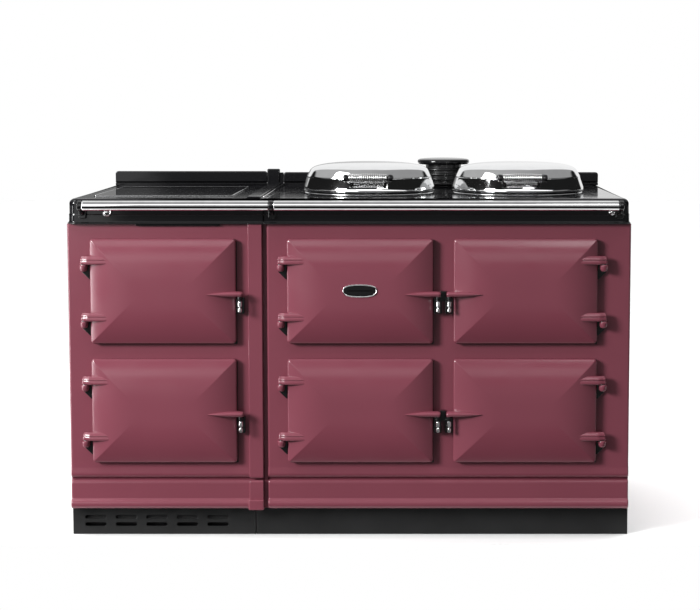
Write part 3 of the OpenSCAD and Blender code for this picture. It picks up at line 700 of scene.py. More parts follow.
# painted shadow: black strips set on the panel that make a dark line at the foot and the right of each door, standing
# in for the doors' cast shadow
g = Geo()
for key, (hx, w, z0, side) in DOORS.items():
    a0, a1 = (hx, hx + w) if side > 0 else (hx - w, hx)
    prof = [(0, Y_FACE + 0.6), (0, Y_FACE - 0.9), (0.3, Y_FACE - 1.5), (0.9, Y_FACE - 1.8)]
    g.slab(rrect(a0 + 7, a1 + 1.4, z0 - 2.6, z0 + 5, 1.2, 4), prof, mapf=xz)
    g.slab(rrect(a1 - 5, a1 + 1.4, z0 + 5.2, z0 + DOOR_H - 8, 1.2, 4), prof, mapf=xz)
g.done("door_painted_shadow_strips", M["bracket"], ROOT, "bracket_black", sharp=50)


# insulated plugs: pressed steel pans with a raised field, a rope seal and four screws
def plug(key):
    hx, w, z0, side = DOORS[key]
    g = Geo()
    x0, x1 = LAP + 8, w - LAP - 8
    a0, a1 = (hx + x0, hx + x1) if side > 0 else (hx - x1, hx - x0)
    zz0, zz1 = z0 + LAP + 8, z0 + DOOR_H - LAP - 8
    prof = [(4, Y_DOOR - 0.2), (0, Y_DOOR - 0.1), (0, Y_IN + 6), (0.8, Y_IN + 9), (2.4, Y_IN + 11.2), (5, Y_IN + 12), (22, Y_IN + 12), (24, Y_IN + 11.4),
            (27, Y_IN + 8.6), (29, Y_IN + 8), (60, Y_IN + 8)]
    g.slab(rrect(a0, a1, zz0, zz1, 10, 8), prof, mapf=xz)
    g.done("plug_pan_" + key, M["steel"], "door_%s_body" % key, "steel_plate", ["plug_" + key], sharp=40)
    s = Geo()
    for cx in (a0 + 13, a1 - 13):
        for cz in (zz0 + 13, zz1 - 13):
            s.lathe([(0, -1), (4.2, -1), (4.2, 0.6), (3.6, 1.6), (2.2, 2.3), (0, 2.5)], (cx, Y_IN + 11.6, cz), "y", 24)
    s.done("plug_screws_" + key, M["zinc"], "door_%s_body" % key, "steel_zinc")
    # woven rope seal round the plug's root
    r = Geo()
    path = rrect(a0 - 5, a1 + 5, zz0 - 5, zz1 + 5, 14, 6)
    rings, n = [], len(path)
    for i, (a, b) in enumerate(path):
        p0, p1 = path[i - 1], path[(i + 1) % n]
        t = Vector((p1[0] - p0[0], p1[1] - p0[1])).normalized()
        nrm = Vector((t.y, -t.x))
        rings.append([(a + nrm.x * 3.2 * math.cos(q), Y_DOOR + 0.6 + 1.2 * math.sin(q), b + nrm.y * 3.2 * math.cos(q)) for q in [2 * math.pi * k / 10 for k in range(10)]])
    rings.append(rings[0])
    r.loft(rings, False, False)
    r.done("door_seal_" + key, M["seal"], "door_%s_body" % key, "steel_plate", sharp=80)


def seal_mat():
    m = Mat("woven_seal", (0.22, 0.21, 0.19, 1), rough=0.9)
    w = m.n("ShaderNodeTexWave", wave_type="BANDS", bands_direction="DIAGONAL")
    w.inputs["Scale"].default_value = 260
    m.put(w.inputs["Vector"], m.co)
    m.set("Base Color", m.ramp(w.outputs["Fac"], [(0.2, (0.10, 0.095, 0.085)), (0.8, (0.27, 0.26, 0.23))]))
    m.set("Normal", m.bump(w.outputs["Fac"], 0.6, 0.0008))
    return m.m


M["seal"] = seal_mat()
for key in DOORS:
    if key != "control":
        plug(key)

# blank oval plate on the control door: chrome border round a dark, unlettered field
hx, w, z0, side = DOORS["control"]
bx, bz, by = hx + w / 2, z0 + 142, Y_DOOR - DOOR_T
g = Geo()
oval = [(45 * math.copysign(abs(math.cos(t)) ** 0.72, math.cos(t)), 17.4 * math.copysign(abs(math.sin(t)) ** 0.82, math.sin(t)))
        for t in [2 * math.pi * k / 96 for k in range(96)]]
prof = [(2, by + 0.4), (0, by + 0.3), (0, by - 1.0), (0.5, by - 2.2), (1.4, by - 2.9), (2.4, by - 2.7), (3.0, by - 2.0), (3.4, by - 1.6)]
g.slab([(bx + a, bz + b) for a, b in oval], prof, mapf=xz)
g.done("badge_rim", M["chrome"], "door_control_body", "chrome", ["badge_plate"], sharp=50)
g = Geo()
prof = [(3.0, by - 0.5), (3.0, by - 1.7), (5.0, by - 1.95), (8, by - 2.1), (14, by - 2.2)]
g.slab([(bx + a, bz + b) for a, b in oval], prof, mapf=xz)
g.done("badge_field", M["bracket"], "door_control_body", "bracket_black", sharp=50)

# flat inner sheet of the control door
g = Geo()
g.slab(rrect(hx + 24, hx + w - 24, z0 + 24, z0 + DOOR_H - 24, 8, 6), [(1, Y_DOOR - 0.5), (0, Y_DOOR - 0.3), (0, Y_DOOR + 0.6), (0.6, Y_DOOR + 1.0), (12, Y_DOOR + 1.0)], mapf=xz)
for cx in (hx + 34, hx + w - 34):
    for cz in (z0 + 34, z0 + DOOR_H - 34):
        g.lathe([(0, -1), (4.2, -1), (4.2, 0.4), (3.4, 1.2), (0, 1.5)], (cx, Y_DOOR + 1.0, cz), "y", 24)
g.done("control_door_sheet", M["steel"], "door_control_body", "steel_plate", sharp=40)


def end_round(g, sec, x0, x1, r=5.0, n=5):
    """Extrudes a YZ outline along x with its front pulled back round both ends."""
    rings = []
    xs = [(x0 + r - r * math.sin(math.pi / 2 * (1 - k / n)), r - r * math.cos(math.pi / 2 * (1 - k / n))) for k in range(n + 1)]
    xs = xs + [(x1 - (x - x0), t) for x, t in reversed(xs)]
    for x, t in xs:
        rings.append([(x, y if y >= Y_IN - 0.1 else min(y + t, Y_IN - 0.05), z) for y, z in sec])
    g.loft(rings)


# ------------------------------------------------------------------ fronts
def front(name, x0, x1, keys, node):
    g = Geo()
    outer = rrect(x0, x1, SKIRT, Z_FRONT, 1.2, 3)
    prof = [(0, Y_IN), (0, Y_FACE + 6.0)] + [(6 * (1 - math.cos(a)), Y_FACE + 6 - 6 * math.sin(a)) for a in [math.pi / 2 * k / 6 for k in range(1, 7)]] + [(7.5, Y_FACE)]
    # only the upright edges are rounded: top and bottom meet the plate and the skirt
    holes = []
    for k in keys:
        a0, a1, b0, b1 = ap(DOORS[k])
        holes.append((rrect(a0, a1, b0, b1, 12, 8), [(0, Y_IN), (0, Y_FACE + 2.5), (0.4, Y_FACE + 1.2), (1.2, Y_FACE + 0.4), (2.5, Y_FACE)]))
    def stretch(a, b, d):
        # keeps the top and bottom edges square while the sides are rounded
        t = {round(q, 3): p for p, q in prof}.get(round(d, 3), 0)
        if b < SKIRT + 20:
            b = b - t
        elif b > Z_FRONT - 20:
            b = b + t
        return (a, d, min(max(b, SKIRT + 15.0), Z_FRONT))
    g.slab(outer, prof, holes, stretch)
    # the plate's foot swells a little before it rolls under
    lip = [(Y_IN, SKIRT - 4.0), (Y_FACE + 10.2, SKIRT - 4.0), (Y_FACE + 9.4, SKIRT + 0.2), (Y_FACE + 5.6, SKIRT + 1.0), (Y_FACE + 2.2, SKIRT + 3.0), (Y_FACE - 0.2, SKIRT + 6.2), (Y_FACE - 1.5, SKIRT + 10.0), (Y_FACE - 1.8, SKIRT + 13.0),
           (Y_FACE - 1.4, SKIRT + 17.0), (Y_FACE - 0.5, SKIRT + 23.0), (Y_FACE + 0.1, SKIRT + 30.0), (Y_IN, SKIRT + 30.0)]
    end_round(g, lip, x0, x1)
    g.done(name, M["enamel"], ROOT, "enamel", [node], sharp=50)


front("front_casting_left", XL0, XL1, ["slow", "warm"], "front_plate_left")
front("front_casting_right", XR0, XR1, ["control", "bake", "roast", "simmer"], "front_plate_right")


# skirts: panel with a soft step at the top and a rounded moulding at the foot
r_m = (MOULD - PLINTH - 2) / 2
SEC = [(Y_IN, PLINTH + 2), (Y_FACE + 3, PLINTH + 2)]
SEC += [(Y_FACE + 4.0 - (r_m - 1.5) * math.cos(math.radians(q)), PLINTH + 2 + r_m + (r_m - 0.2) * math.sin(math.radians(q))) for q in range(-64, 65, 8)]
SEC += [(Y_FACE + 0.2, MOULD + 0.6), (Y_FACE + 0.7, MOULD + 2.4), (Y_FACE + 0.7, SKIRT - 15), (Y_FACE + 1.5, SKIRT - 10.5), (Y_FACE + 3.6, SKIRT - 7.0), (Y_FACE + 6.6, SKIRT - 5.0), (Y_FACE + 10.5, SKIRT - 4.4), (Y_IN, SKIRT - 4.2)]
g = Geo()
end_round(g, SEC, XL0, XL1)
end_round(g, SEC, XR0, XR1)
g.done("skirt_castings", M["enamel"], ROOT, "enamel", ["skirts"], sharp=60)

# pilaster with its foot block
g = Geo()
g.slab(rrect(XL1 - 38.5, XL1 - 1, Y_FACE - 8, Y_FACE + 1, 2.6, 5), [(0, MOULD + 0.4), (0, SKIRT - 12.0), (0.6, SKIRT - 8.0), (2.2, SKIRT - 5.0), (5.0, SKIRT - 4.0)])
g.slab(rrect(XL1 - 38.5, XL1 - 1, Y_FACE - 8, Y_FACE + 1, 2.6, 5), [(5.0, SKIRT + 0.6), (2.2, SKIRT + 1.4), (0.6, SKIRT + 4.0), (0, SKIRT + 8.0), (0, Z_FRONT - 0.2)])
g.slab(rrect(XL1 - 41, XL1 + 0.5, Y_FACE - 16, Y_FACE + 1, 4.5, 5), bevel_prof(PLINTH + 2, MOULD + 0.2, 2, 3.4, 4))
g.done("pilaster_casting", M["enamel"], ROOT, "enamel", ["pilaster_strip"], sharp=50)
# recessed strip that closes the gap between the modules
g = Geo()
g.box(XL1 + 0.4, XR0 - 0.4, Y_FACE + 7, Y_FACE + 9, PLINTH + 3, Z_FRONT - 0.5, 0.6)
g.done("module_joint_strip", M["enamel"], ROOT, "enamel", sharp=50)


# hinge blocks: rounded bosses with a sloping underside, and a washer under each lug
def hinge_blocks():
    g, wsh, lug_shadow_geo = Geo(), Geo(), Geo()
    for key, (hx, w, z0, side) in DOORS.items():
        ax = hx - side * HOFF
        for lz in LUGS:
            top = z0 + lz - LUG_H / 2 - 0.8
            plan = [(ax + 10.4 * math.cos(math.radians(a)), HINGE_Y + 10.4 * math.sin(math.radians(a))) for a in range(180, 361, 12)]
            plan += [(ax + 10.8, Y_FACE + 0.5), (ax - 10.8, Y_FACE + 0.5)]
            prof = [(7.5, top - 17.8), (4.6, top - 17.3), (2.6, top - 15.8), (1.2, top - 13.0), (0.5, top - 9), (0.2, top - 5), (0.2, top - 2.2), (0.8, top - 0.8), (2.2, top), (4, top)]
            g.slab(plan, prof)
            wsh.lathe([(0, 0), (7.4, 0), (7.4, 0.5), (0, 0.5)], (ax, HINGE_Y, top), "z", 32)
            # painted shadow: black triangular plate between the knuckle and the door's edge, standing in for the shade
            # under the lug
            tri = [(ax - side * 7, top - 1.0), (hx - side * 0.8, top - 1.0), (hx - side * 0.8, top - 38.0), (hx - side * 2.4, top - 40.0), (hx - side * 4.2, top - 38.6), (ax - side * 7.5, top - 19.5)]
            tri = list(reversed(tri)) if poly_area(tri) < 0 else tri
            lug_shadow_geo.slab(tri, [(0, Y_FACE + 0.5), (0, Y_FACE - 6.5), (0.5, Y_FACE - 7.6), (1.6, Y_FACE - 8.0)], mapf=xz)
    g.done("hinge_bosses", M["enamel"], ROOT, "enamel", ["hinge_blocks"], sharp=55)
    wsh.done("hinge_washers", M["zinc"], ROOT, "steel_zinc")
    lug_shadow_geo.done("hinge_painted_shadow_plates", M["bracket"], ROOT, "bracket_black", sharp=50)


hinge_blocks()

# catches: black strikers behind the pegs, and the block between facing handles
g = Geo()
for key, (hx, w, z0, side) in DOORS.items():
    x = hx + side * (w + 12)
    prof = bevel_prof(Y_FACE + 0.5, Y_FACE - 18, 0, 1.6, 3)
    g.slab(rrect(x - 10, x + 10, z0 + 79, z0 + 122, 3.5, 4), prof, mapf=xz)
    if side > 0 and hx > JOINT:
        g.slab(rrect(x + 7, x + 21, z0 + 112, z0 + 138, 2.2, 4), prof, mapf=xz)
g.done("catch_plates", M["bracket"], ROOT, "bracket_black", ["door_catches"], sharp=50)


# ------------------------------------------------------------------ plinth
def plinth():
    y = Y_FACE + 30
    g = Geo()
    pitch = (517.5 - 110) / 5
    holes = []
    for i in range(5):
        for z in (27, 47):
            a0 = XL0 + 30 + i * pitch
            holes.append((rrect(a0, a0 + 56, z - 4.9, z + 4.9, 4.6, 6), [(0, y + 3), (0, y + 1.0), (0.4, y + 0.3), (1.1, y)]))
    g.slab(rrect(-HX, XL1 - 26, 0.0, PLINTH + 1, 1.6, 3), [(0, y + 3), (0, y + 1.0), (0.4, y + 0.3), (1.2, y)], holes, xz)
    g.box(-HX, 3 - HX, y + 3.2, Y_PANEL, 0, PLINTH, 0.6)
    g.box(3.2 - HX, XL1 - 26, Y_PANEL - 3, Y_PANEL, 0, PLINTH, 0.6)
    g.done("plinth_panel_left", M["plinth"], ROOT, "plinth_black", ["plinth_left"], sharp=50)
    g = Geo()
    g.slab(rrect(XL1 - 24.6, HX, 0.0, PLINTH + 1, 1.6, 3), [(0, y + 3), (0, y + 1.0), (0.4, y + 0.3), (1.2, y)], (), xz)
    g.box(HX - 3, HX, y + 3.2, Y_PANEL, 0, PLINTH, 0.6)
    g.box(XL1 - 25, HX - 3.2, Y_PANEL - 3, Y_PANEL, 0, PLINTH, 0.6)
    g.done("plinth_panel_right", M["plinth"], ROOT, "plinth_black", ["plinth_right"], sharp=50)
    # dark liner behind the slots
    g = Geo()
    g.box(XL0 + 20, XL1 - 40, y + 26, y + 28, 4, PLINTH - 2, 0.5)
    g.done("plinth_liner", M["panel"], ROOT, "plinth_black")


plinth()


# ------------------------------------------------------------------ top plates
def top_prof(r=15.0):
    prof = [(5, Z_FRONT + 0.6), (1.6, Z_FRONT), (0.3, Z_FRONT + 0.5), (0, Z_FRONT + 1.5), (0.4, Z_FRONT + 2.6), (1.6, Z_FRONT + 3.5), (2.9, Z_FRONT + 4.6), (3.5, Z_FRONT + 7.0)]
    # the shallow crease across the apron
    prof += [(3.6, Z_FRONT + 22), (3.8, Z_FRONT + 23.6), (4.5, Z_FRONT + 25.2), (4.8, Z_FRONT + 27)]
    prof += [(4.9, HOB - r - 6)]
    prof += [(5.0 + r * (1 - math.cos(a)), HOB - r + r * math.sin(a)) for a in [math.pi / 2 * k / 9 for k in range(10)]]
    prof.append((5.0 + r + 1.5, HOB))
    return prof


def top_plates():
    g = Geo()
    outer = rrect4(4 - HX, JOINT - 1, Y_PLATE, Y_BACK, 26, 2, 2, 10, 8)
    hole = rrect(GX0 - 3, GX1 + 3, GY0 - 3, GY1 + 3, 7, 6)
    hp = [(0, Z_FRONT + 0.6), (0, HOB - 0.8), (0.2, HOB - 0.2), (0.8, HOB)]
    squash_x(g, outer, top_prof(), [(hole, hp)], JOINT - 1, "right")
    g.box(-HX + 184, -HX + 403, Y_PLATE + 6, Y_FACE - 2, Z_FRONT - 5, Z_FRONT + 1, 1.0)
    g.done("top_casting_left", M["black"], ROOT, "black_enamel", ["top_plate_left"], sharp=55)
    g = Geo()
    outer = rrect4(JOINT + 1, HX - 4, Y_PLATE, Y_BACK, 2, 26, 10, 2, 8)
    holes = [(circle(x, CY, 174), [(0, Z_FRONT + 0.6), (0, HOB - 2), (0.5, HOB - 0.8), (1.6, HOB)]) for x in CX]
    holes.append((circle(VX, VY, 40, 64), [(0, Z_FRONT + 0.6), (0, HOB)]))
    squash_x(g, outer, top_prof(), holes, JOINT + 1, "left")
    g.done("top_casting_right", M["black"], ROOT, "black_enamel", ["top_plate_right"], sharp=55)


def squash_x(g, outer, prof, holes, xj, side):
    """Slab whose edge at the joint stays upright while the other edges follow the profile."""
    tmap = {}
    for t, d in prof:
        tmap[round(d, 3)] = t

    def mp(a, b, d):
        if side == "right" and a > xj - 60:
            a = a + min(tmap.get(round(d, 3), 0), 60) * 0.9
            a = min(a, xj)
        if side == "left" and a < xj + 60:
            a = a - min(tmap.get(round(d, 3), 0), 60) * 0.9
            a = max(a, xj)
        return (a, b, d)
    g.slab(outer, prof, holes, mp)


top_plates()

# hob glass and its bright frame
g = Geo()
g.slab(rrect(GX0, GX1, GY0, GY1, 4, 6), bevel_prof(HOB - 4, HOB + 2, 0, 1.0, 3))
g.done("hob_pane", M["glass"], ROOT, "hob_glass", ["hob_glass"], sharp=50)
g = Geo()
g.slab(rrect(GX0 - 2.8, GX1 + 2.8, GY0 - 2.8, GY1 + 2.8, 6.8, 6), bevel_prof(HOB - 3.8, HOB + 2.5, 0, 1.0, 3)[:-1],
       [(rrect(GX0 - 0.2, GX1 + 0.2, GY0 - 0.2, GY1 + 0.2, 4.2, 6), [(0, HOB - 3.8), (0, HOB + 1.8), (0.7, HOB + 2.5)])])
g.done("hob_frame", M["trim"], ROOT, "chrome", ["hob_trim"], sharp=50)

# joint strip, bead and rear column
g = Geo()
g.slab(rrect(JOINT - 44, JOINT - 9, Y_PLATE + 15, Y_BACK - 18.3, 2, 3), bevel_prof(HOB - 1, HOB + 5, 0, 1.6, 4))
g.slab(rrect(JOINT - 48, JOINT - 10, Y_BACK - 18, Y_BACK, 4, 5), bevel_prof(HOB - 1, HOB + 49, 0, 3.5, 5))
g.box(JOINT - 12, JOINT + 0.7, Y_BACK - 14, Y_BACK - 2, HOB - 1, HOB + 38, 0.5)
g.done("joint_strip", M["black"], ROOT, "black_enamel", ["joint_cover"], sharp=50)
g = Geo()
g.box(JOINT - 2, JOINT + 3, Y_PLATE + 18, Y_BACK - 18.3, HOB - 1, HOB + 6, 1.6)
g.done("joint_bead", M["chrome"], ROOT, "chrome")

# rear upstands: thick rails with round corners, on a narrow foot that leaves a fine groove
g = Geo()
for x0, x1, h in ((9 - HX, JOINT - 48.3, 42), (JOINT + 1, HX - 7, 39)):
    prof = bevel_prof(Y_BACK - 16, Y_BACK, 3.2, 2.2, 5)
    g.slab(rrect4(x0, x1, HOB + 7.2, HOB + h, 1.2, 1.2, 8, 8, 6), prof, mapf=xz)
    g.slab(rrect4(x0, x1, HOB - 1, HOB + 6.6, 0.6, 0.6, 1.2, 1.2, 4), bevel_prof(Y_BACK - 15.4, Y_BACK - 0.6, 1.0, 1.0, 3), mapf=xz)
    g.box(x0 + 2, x1 - 2, Y_BACK - 13, Y_BACK - 3, HOB + 5, HOB + 9, 0.3)
g.done("rear_upstands", M["black"], ROOT, "black_enamel", ["upstands"], sharp=50)


# ------------------------------------------------------------------ towel rails
def rails():
    g = Geo()
    for x0, x1 in ((54 - HX, JOINT + 17), (JOINT + 29.4, HX - 43)):
        n = 8
        prof = [(0, x0)] + [(RAIL_R - 3 + 3 * math.sin(a), x0 + 3 - 3 * math.cos(a)) for a in [math.pi / 2 * k / n for k in range(n + 1)]]
        prof += [(r, x0 + x1 - x) for r, x in reversed(prof)]
        g.lathe([(r, x) for r, x in prof], (0, RAIL_Y, RAIL_Z), "x", 96)
    g.done("rail_tubes", M["chrome"], ROOT, "chrome", ["towel_rails"], sharp=50)
    g = Geo()
    for x in (41.6 - HX, JOINT + 17, HX - 43):
        xm = x + 6.2
        g.lathe([(0, -6.2), (9, -6.2), (11.6, -5.6), (12.8, -4.4), (13.0, -3), (13.0, 3), (12.8, 4.4), (11.6, 5.6), (9, 6.2), (0, 6.2)], (xm, RAIL_Y, RAIL_Z), "x", 48)
        # curved arm from the rail down to its foot on the apron
        path = [(RAIL_Y - 1, RAIL_Z - 4, 5.2, 7.5), (RAIL_Y + 8, RAIL_Z - 6, 5.0, 7.2), (RAIL_Y + 18, RAIL_Z - 10, 5.2, 7.4), (RAIL_Y + 27, RAIL_Z - 15, 6.0, 9.0), (RAIL_Y + 34, RAIL_Z - 18, 7.6, 12.0), (RAIL_Y + 41, RAIL_Z - 19, 9.6, 14.0)]
        rings = []
        for y, z, hw, hh in path:
            rings.append([(xm + hw * math.copysign(abs(math.cos(t)) ** 0.6, math.cos(t)), y, z + hh * math.copysign(abs(math.sin(t)) ** 0.6, math.sin(t))) for t in [2 * math.pi * k / 24 for k in range(24)]])
        g.loft(rings)
        # foot plate with two screws
        g.slab(rrect(xm - 10, xm + 10, RAIL_Z - 36, RAIL_Z - 5, 5, 5), bevel_prof(Y_PLATE + 8, Y_PLATE - 3.5, 0, 2.0, 4), mapf=xz)
    g.done("rail_arms", M["bracket"], ROOT, "bracket_black", ["rail_brackets"], sharp=50)
    g = Geo()
    # domed bright studs under the rail ends
    for x, r in ((112 - HX, 12.0), (HX - 56, 9.0)):
        g.lathe([(0, 10), (r - 1, 10), (r, 6.5), (r, 1), (r - 0.8, -1.2), (r - 2.4, -2.4), (r - 3.4, -1.8), (r - 4.2, -1.6), (r - 5, -2.8), (r * 0.3, -3.6), (0, -3.8)], (x, Y_PLATE - 2, HOB - 35), "y", 48)
    g.done("rail_studs", M["chrome"], ROOT, "chrome", ["rail_screws"], sharp=50)


rails()


# ------------------------------------------------------------------ hotplates and lids
def lids():
    for i, n in enumerate(("left", "right")):
        x, body = CX[i], "lid_" + n
        c = (x, CY, HOB)
        g = Geo()
        outer = [(176.5, 5.0), (182.0, 5.0), (183.8, 5.7), (184.7, 7.4), (184.9, 9.5), (184.7, 12.0), (184.3, 14.6), (183.9, 16.4)]
        outer += [(183.5, 17.6), (182.9, 19.4), (181.5, 23.6), (179.0, 31.1), (176.8, 37.7), (176.0, 40.0), (175.5, 41.4), (175.3, 42.3), (175.5, 43.2), (175.3, 44.2), (174.4, 46.2),
                  (171.2, 52.0), (168.0, 57.8), (165.4, 62.0), (162.6, 65.2), (158.6, 68.3), (152.6, 71.4), (144.6, 74.2), (134, 76.7), (119, 79.2), (100, 81.2), (76, 82.7), (50, 83.6), (25, 83.95), (0, 84.0)]
        g.lathe(list(reversed(outer)), c, "z", 160)
        g.done("lid_dome_" + n, M["lid"][i], body, "lid_chrome", ["lid_shell_" + n], sharp=60)
        # flat insulated underside with a pressed ring and a centre boss
        g = Geo()
        prof = [(0, 6.2), (20, 6.2), (22, 5.4), (60, 5.4), (62, 6.4), (66, 6.8), (70, 6.4), (72, 5.4), (150, 5.4), (152, 6.6), (157, 7.0), (162, 6.4), (164, 5.3), (177.5, 5.3), (177.5, 14), (167.5, 44), (163.5, 54), (153.5, 59.5), (136, 65.5), (0, 72)]
        g.lathe(prof, c, "z", 128)
        g.done("lid_underside_" + n, M["steel"], body, "steel_plate", ["lid_pad_" + n], sharp=50)
        # rear arm and barrel
        g = Geo()
        ly, lz = CY + LID_R + 21, HOB + 25
        rings = []
        for y, hw, za, zb in ((CY + 160, 25, 20, 50), (CY + 172, 25, 17, 44), (CY + 184, 24.5, 15.5, 38.5), (CY + 196, 24, 14.5, 36.5), (ly, 24, 14.2, 36)):
            rings.append([(x + a, y, HOB + b) for a, b in rrect(-hw, hw, za, zb, 4, 4)])
        g.loft(rings)
        g.lathe([(4.05, -25), (9.2, -25), (10.6, -24), (11, -22.5), (11, 22.5), (10.6, 24), (9.2, 25), (4.05, 25)], (x, ly, lz), "x", 48)
        g.done("lid_arm_" + n, M["iron"], body, "hinge_iron", sharp=50)
        # coil handle: one wire wound between two black posts
        y, z = CY - LID_R - 16, HOB + 47
        half, turns = 52.0, 19
        k_n = turns * 22
        path = []
        for k in range(k_n + 1):
            s = k / k_n
            u = 2 * s - 1
            rr = 8.8 + 1.7 * (1 - u * u)
            a = 2 * math.pi * turns * s
            path.append(Vector((x + half * u, y + rr * math.cos(a), z + rr * math.sin(a))))
        g = Geo()
        rings = []
        for k, p in enumerate(path):
            t = (path[min(k + 1, k_n)] - path[max(k - 1, 0)]).normalized()
            ax = Vector((1, 0, 0))
            u1 = t.cross(ax).normalized()
            u2 = t.cross(u1)
            rings.append([tuple(p + (u1 * math.cos(q) + u2 * math.sin(q)) * 1.95) for q in [2 * math.pi * j / 8 for j in range(8)]])
        g.loft(rings)
        g.done("lid_coil_" + n, M["coil"], body, "coil_steel", sharp=80)
        g = Geo()
        g.rod((x - half - 4, y, z), (x + half + 4, y, z), 5.2, 0.6, 24)
        for s in (-1, 1):
            px = x + s * (half + 8)
            g.lathe([(0, -6.4), (6.0, -6.4), (8.6, -5.2), (9.6, -3), (9.8, 0), (9.6, 3), (8.6, 5.2), (6.0, 6.4), (0, 6.4)], (px, y, z), "x", 32)
            wall = CY - math.sqrt(175.8 ** 2 - (half + 8) ** 2)
            rings = []
            for f, rr in ((0, 5.0), (0.3, 4.8), (0.6, 5.0), (0.85, 6.2), (1.0, 8.2), (1.08, 8.6)):
                yy = y + (wall - y) * f
                rings.append([(px + rr * math.cos(q), yy, z + rr * math.sin(q)) for q in [2 * math.pi * j / 24 for j in range(24)]])
            g.loft(rings)
        g.done("lid_grip_posts_" + n, M["bracket"], body, "bracket_black", ["lid_handle_" + n], sharp=50)


lids()

for i, x in enumerate(CX):
    g = Geo()
    prof = [(0, 2.5), (150, 2.5), (164, 2.4), (168.6, 1.9), (170, 0.4), (170, -22), (182, -23), (182, -30), (170, -31), (170, -40), (0, -40)]
    prof = [(0, 2.5), (40, 2.5), (100, 2.5), (164, 2.45), (168.6, 2.0), (170, 0.6), (170, -11.8), (181.8, -12), (181.8, -24), (170, -24.2), (170, -40), (0, -40)]
    g.lathe(prof, (x, CY, HOB), "z", 160)
    g.done("hotplate_disc_%d" % i, M["hotplate"][i], ROOT, "cast_iron", ["hotplates"] if i == 0 else (), sharp=40)
    # enamelled seating ring round each hotplate
    g = Geo()
    g.lathe([(175.5, -1), (175.5, 0.6), (176.6, 1.7), (178.4, 2.2), (180.4, 1.8), (181.8, 0.6), (182.2, -1)], (x, CY, HOB), "z", 160)
    g.done("seat_ring_%d" % i, M["chrome"], ROOT, "chrome", sharp=60)


# lid hinge brackets
def lid_brackets():
    g = Geo()
    ly, lz = CY + LID_R + 21, HOB + 25
    for x in CX:
        g.slab(rrect(x - 42, x + 42, ly - 12, ly + 14, 5, 5), bevel_prof(HOB - 0.5, HOB + 4, 0, 1.4, 3))
        for s in (-1, 1):
            xa = x + s * 36
            prof2 = [(-10, 2), (10, 2)] + [(10.3 * math.cos(math.radians(a)), lz - HOB + 10.3 * math.sin(math.radians(a))) for a in range(0, 181, 15)]
            g.slab(prof2, bevel_prof(-5, 5, 1.4, 1.4, 3), mapf=lambda a, b, d, xa=xa: (xa + d, ly + a, HOB + b))
            g.lathe([(0, 0), (6.2, 0), (6.2, 1.6), (5.0, 3.0), (0, 3.2)] if s > 0 else [(0, -3.2), (5.0, -3.0), (6.2, -1.6), (6.2, 0), (0, 0)], (xa + s * 5, ly, lz), "x", 24)
        g.rod((x - 38, ly, lz), (x + 38, ly, lz), 4.0, 0.4, 32)
    g.done("lid_brackets", M["iron"], ROOT, "hinge_iron", ["lid_hinges"], sharp=50)


lid_brackets()

# vent: finned neck and domed cap
g = Geo()
prof = [(40, -8), (54, -8), (54, 0), (58, 0.6), (60, 2.2), (60, 3.4), (54, 4)]
for k in range(4):
    z = 6 + k * 14
    prof += [(52.5, z - 0.4), (59.4, z + 0.2), (61.2, z + 1.4), (61.8, z + 3.4), (61.2, z + 5.6), (59.4, z + 7.0), (52.5, z + 7.6)]
prof += [(53, 66.4), (40, 66.4)]
g.lathe(prof + [prof[0]], (VX, VY, HOB), "z", 96)
g.f = [f for f in g.f if len(f) <= 4]
g.m = [0] * len(g.f)
g.done("vent_fins", M["iron"], ROOT, "hinge_iron", ["vent_neck"], sharp=50)
g = Geo()
g.lathe([(0, 66), (66, 66), (71.5, 66.4), (74.6, 67.8), (76.3, 70.2), (77.0, 73.4), (76.8, 76.6), (75.6, 79.2), (73.2, 80.9), (69.5, 82.0), (60, 83.2), (45, 84.3), (25, 84.9), (0, 85.0)], (VX, VY, HOB), "z", 128)
g.done("vent_dome", M["black"], ROOT, "black_enamel", ["vent_cap"], sharp=50)


# ------------------------------------------------------------------ controls behind the upper left door of the right module
KX = (ap(DOORS["control"])[0] + ap(DOORS["control"])[1]) / 2
PY, KZ = Y_IN + 60, UP + 118
for n, off in (("left", -104), ("middle", 0), ("right", 104)):
    x = KX + off
    g = Geo()
    g.lathe([(0, -26), (14, -26), (17.2, -25.4), (18.6, -24), (19, -22), (19.4, -8), (19.8, -6), (22.8, -5.4), (24, -4.4), (24, -2.2), (23, -1.4), (0, -1.4)], (x, PY, KZ), "y", 72)
    for k in range(36):
        a = 2 * math.pi * k / 36
        g.rod((x + 19.1 * math.cos(a), PY - 22.5, KZ + 19.1 * math.sin(a)), (x + 19.5 * math.cos(a), PY - 8, KZ + 19.5 * math.sin(a)), 0.7, 0.3, 8)
    g.rod((x, PY - 4, KZ), (x, PY + 14, KZ), 3.0, 0.4, 24)
    g.done("knob_cap_" + n, M["knob"], "knob_%s_body" % n, "knob_metal", ["knob_" + n], sharp=40)
    g = Geo()
    g.box(x - 1.4, x + 1.4, PY - 27.2, PY - 25.2, KZ + 3, KZ + 17, 0.6)
    g.done("knob_pointer_" + n, M["bracket"], "knob_%s_body" % n, "bracket_black")

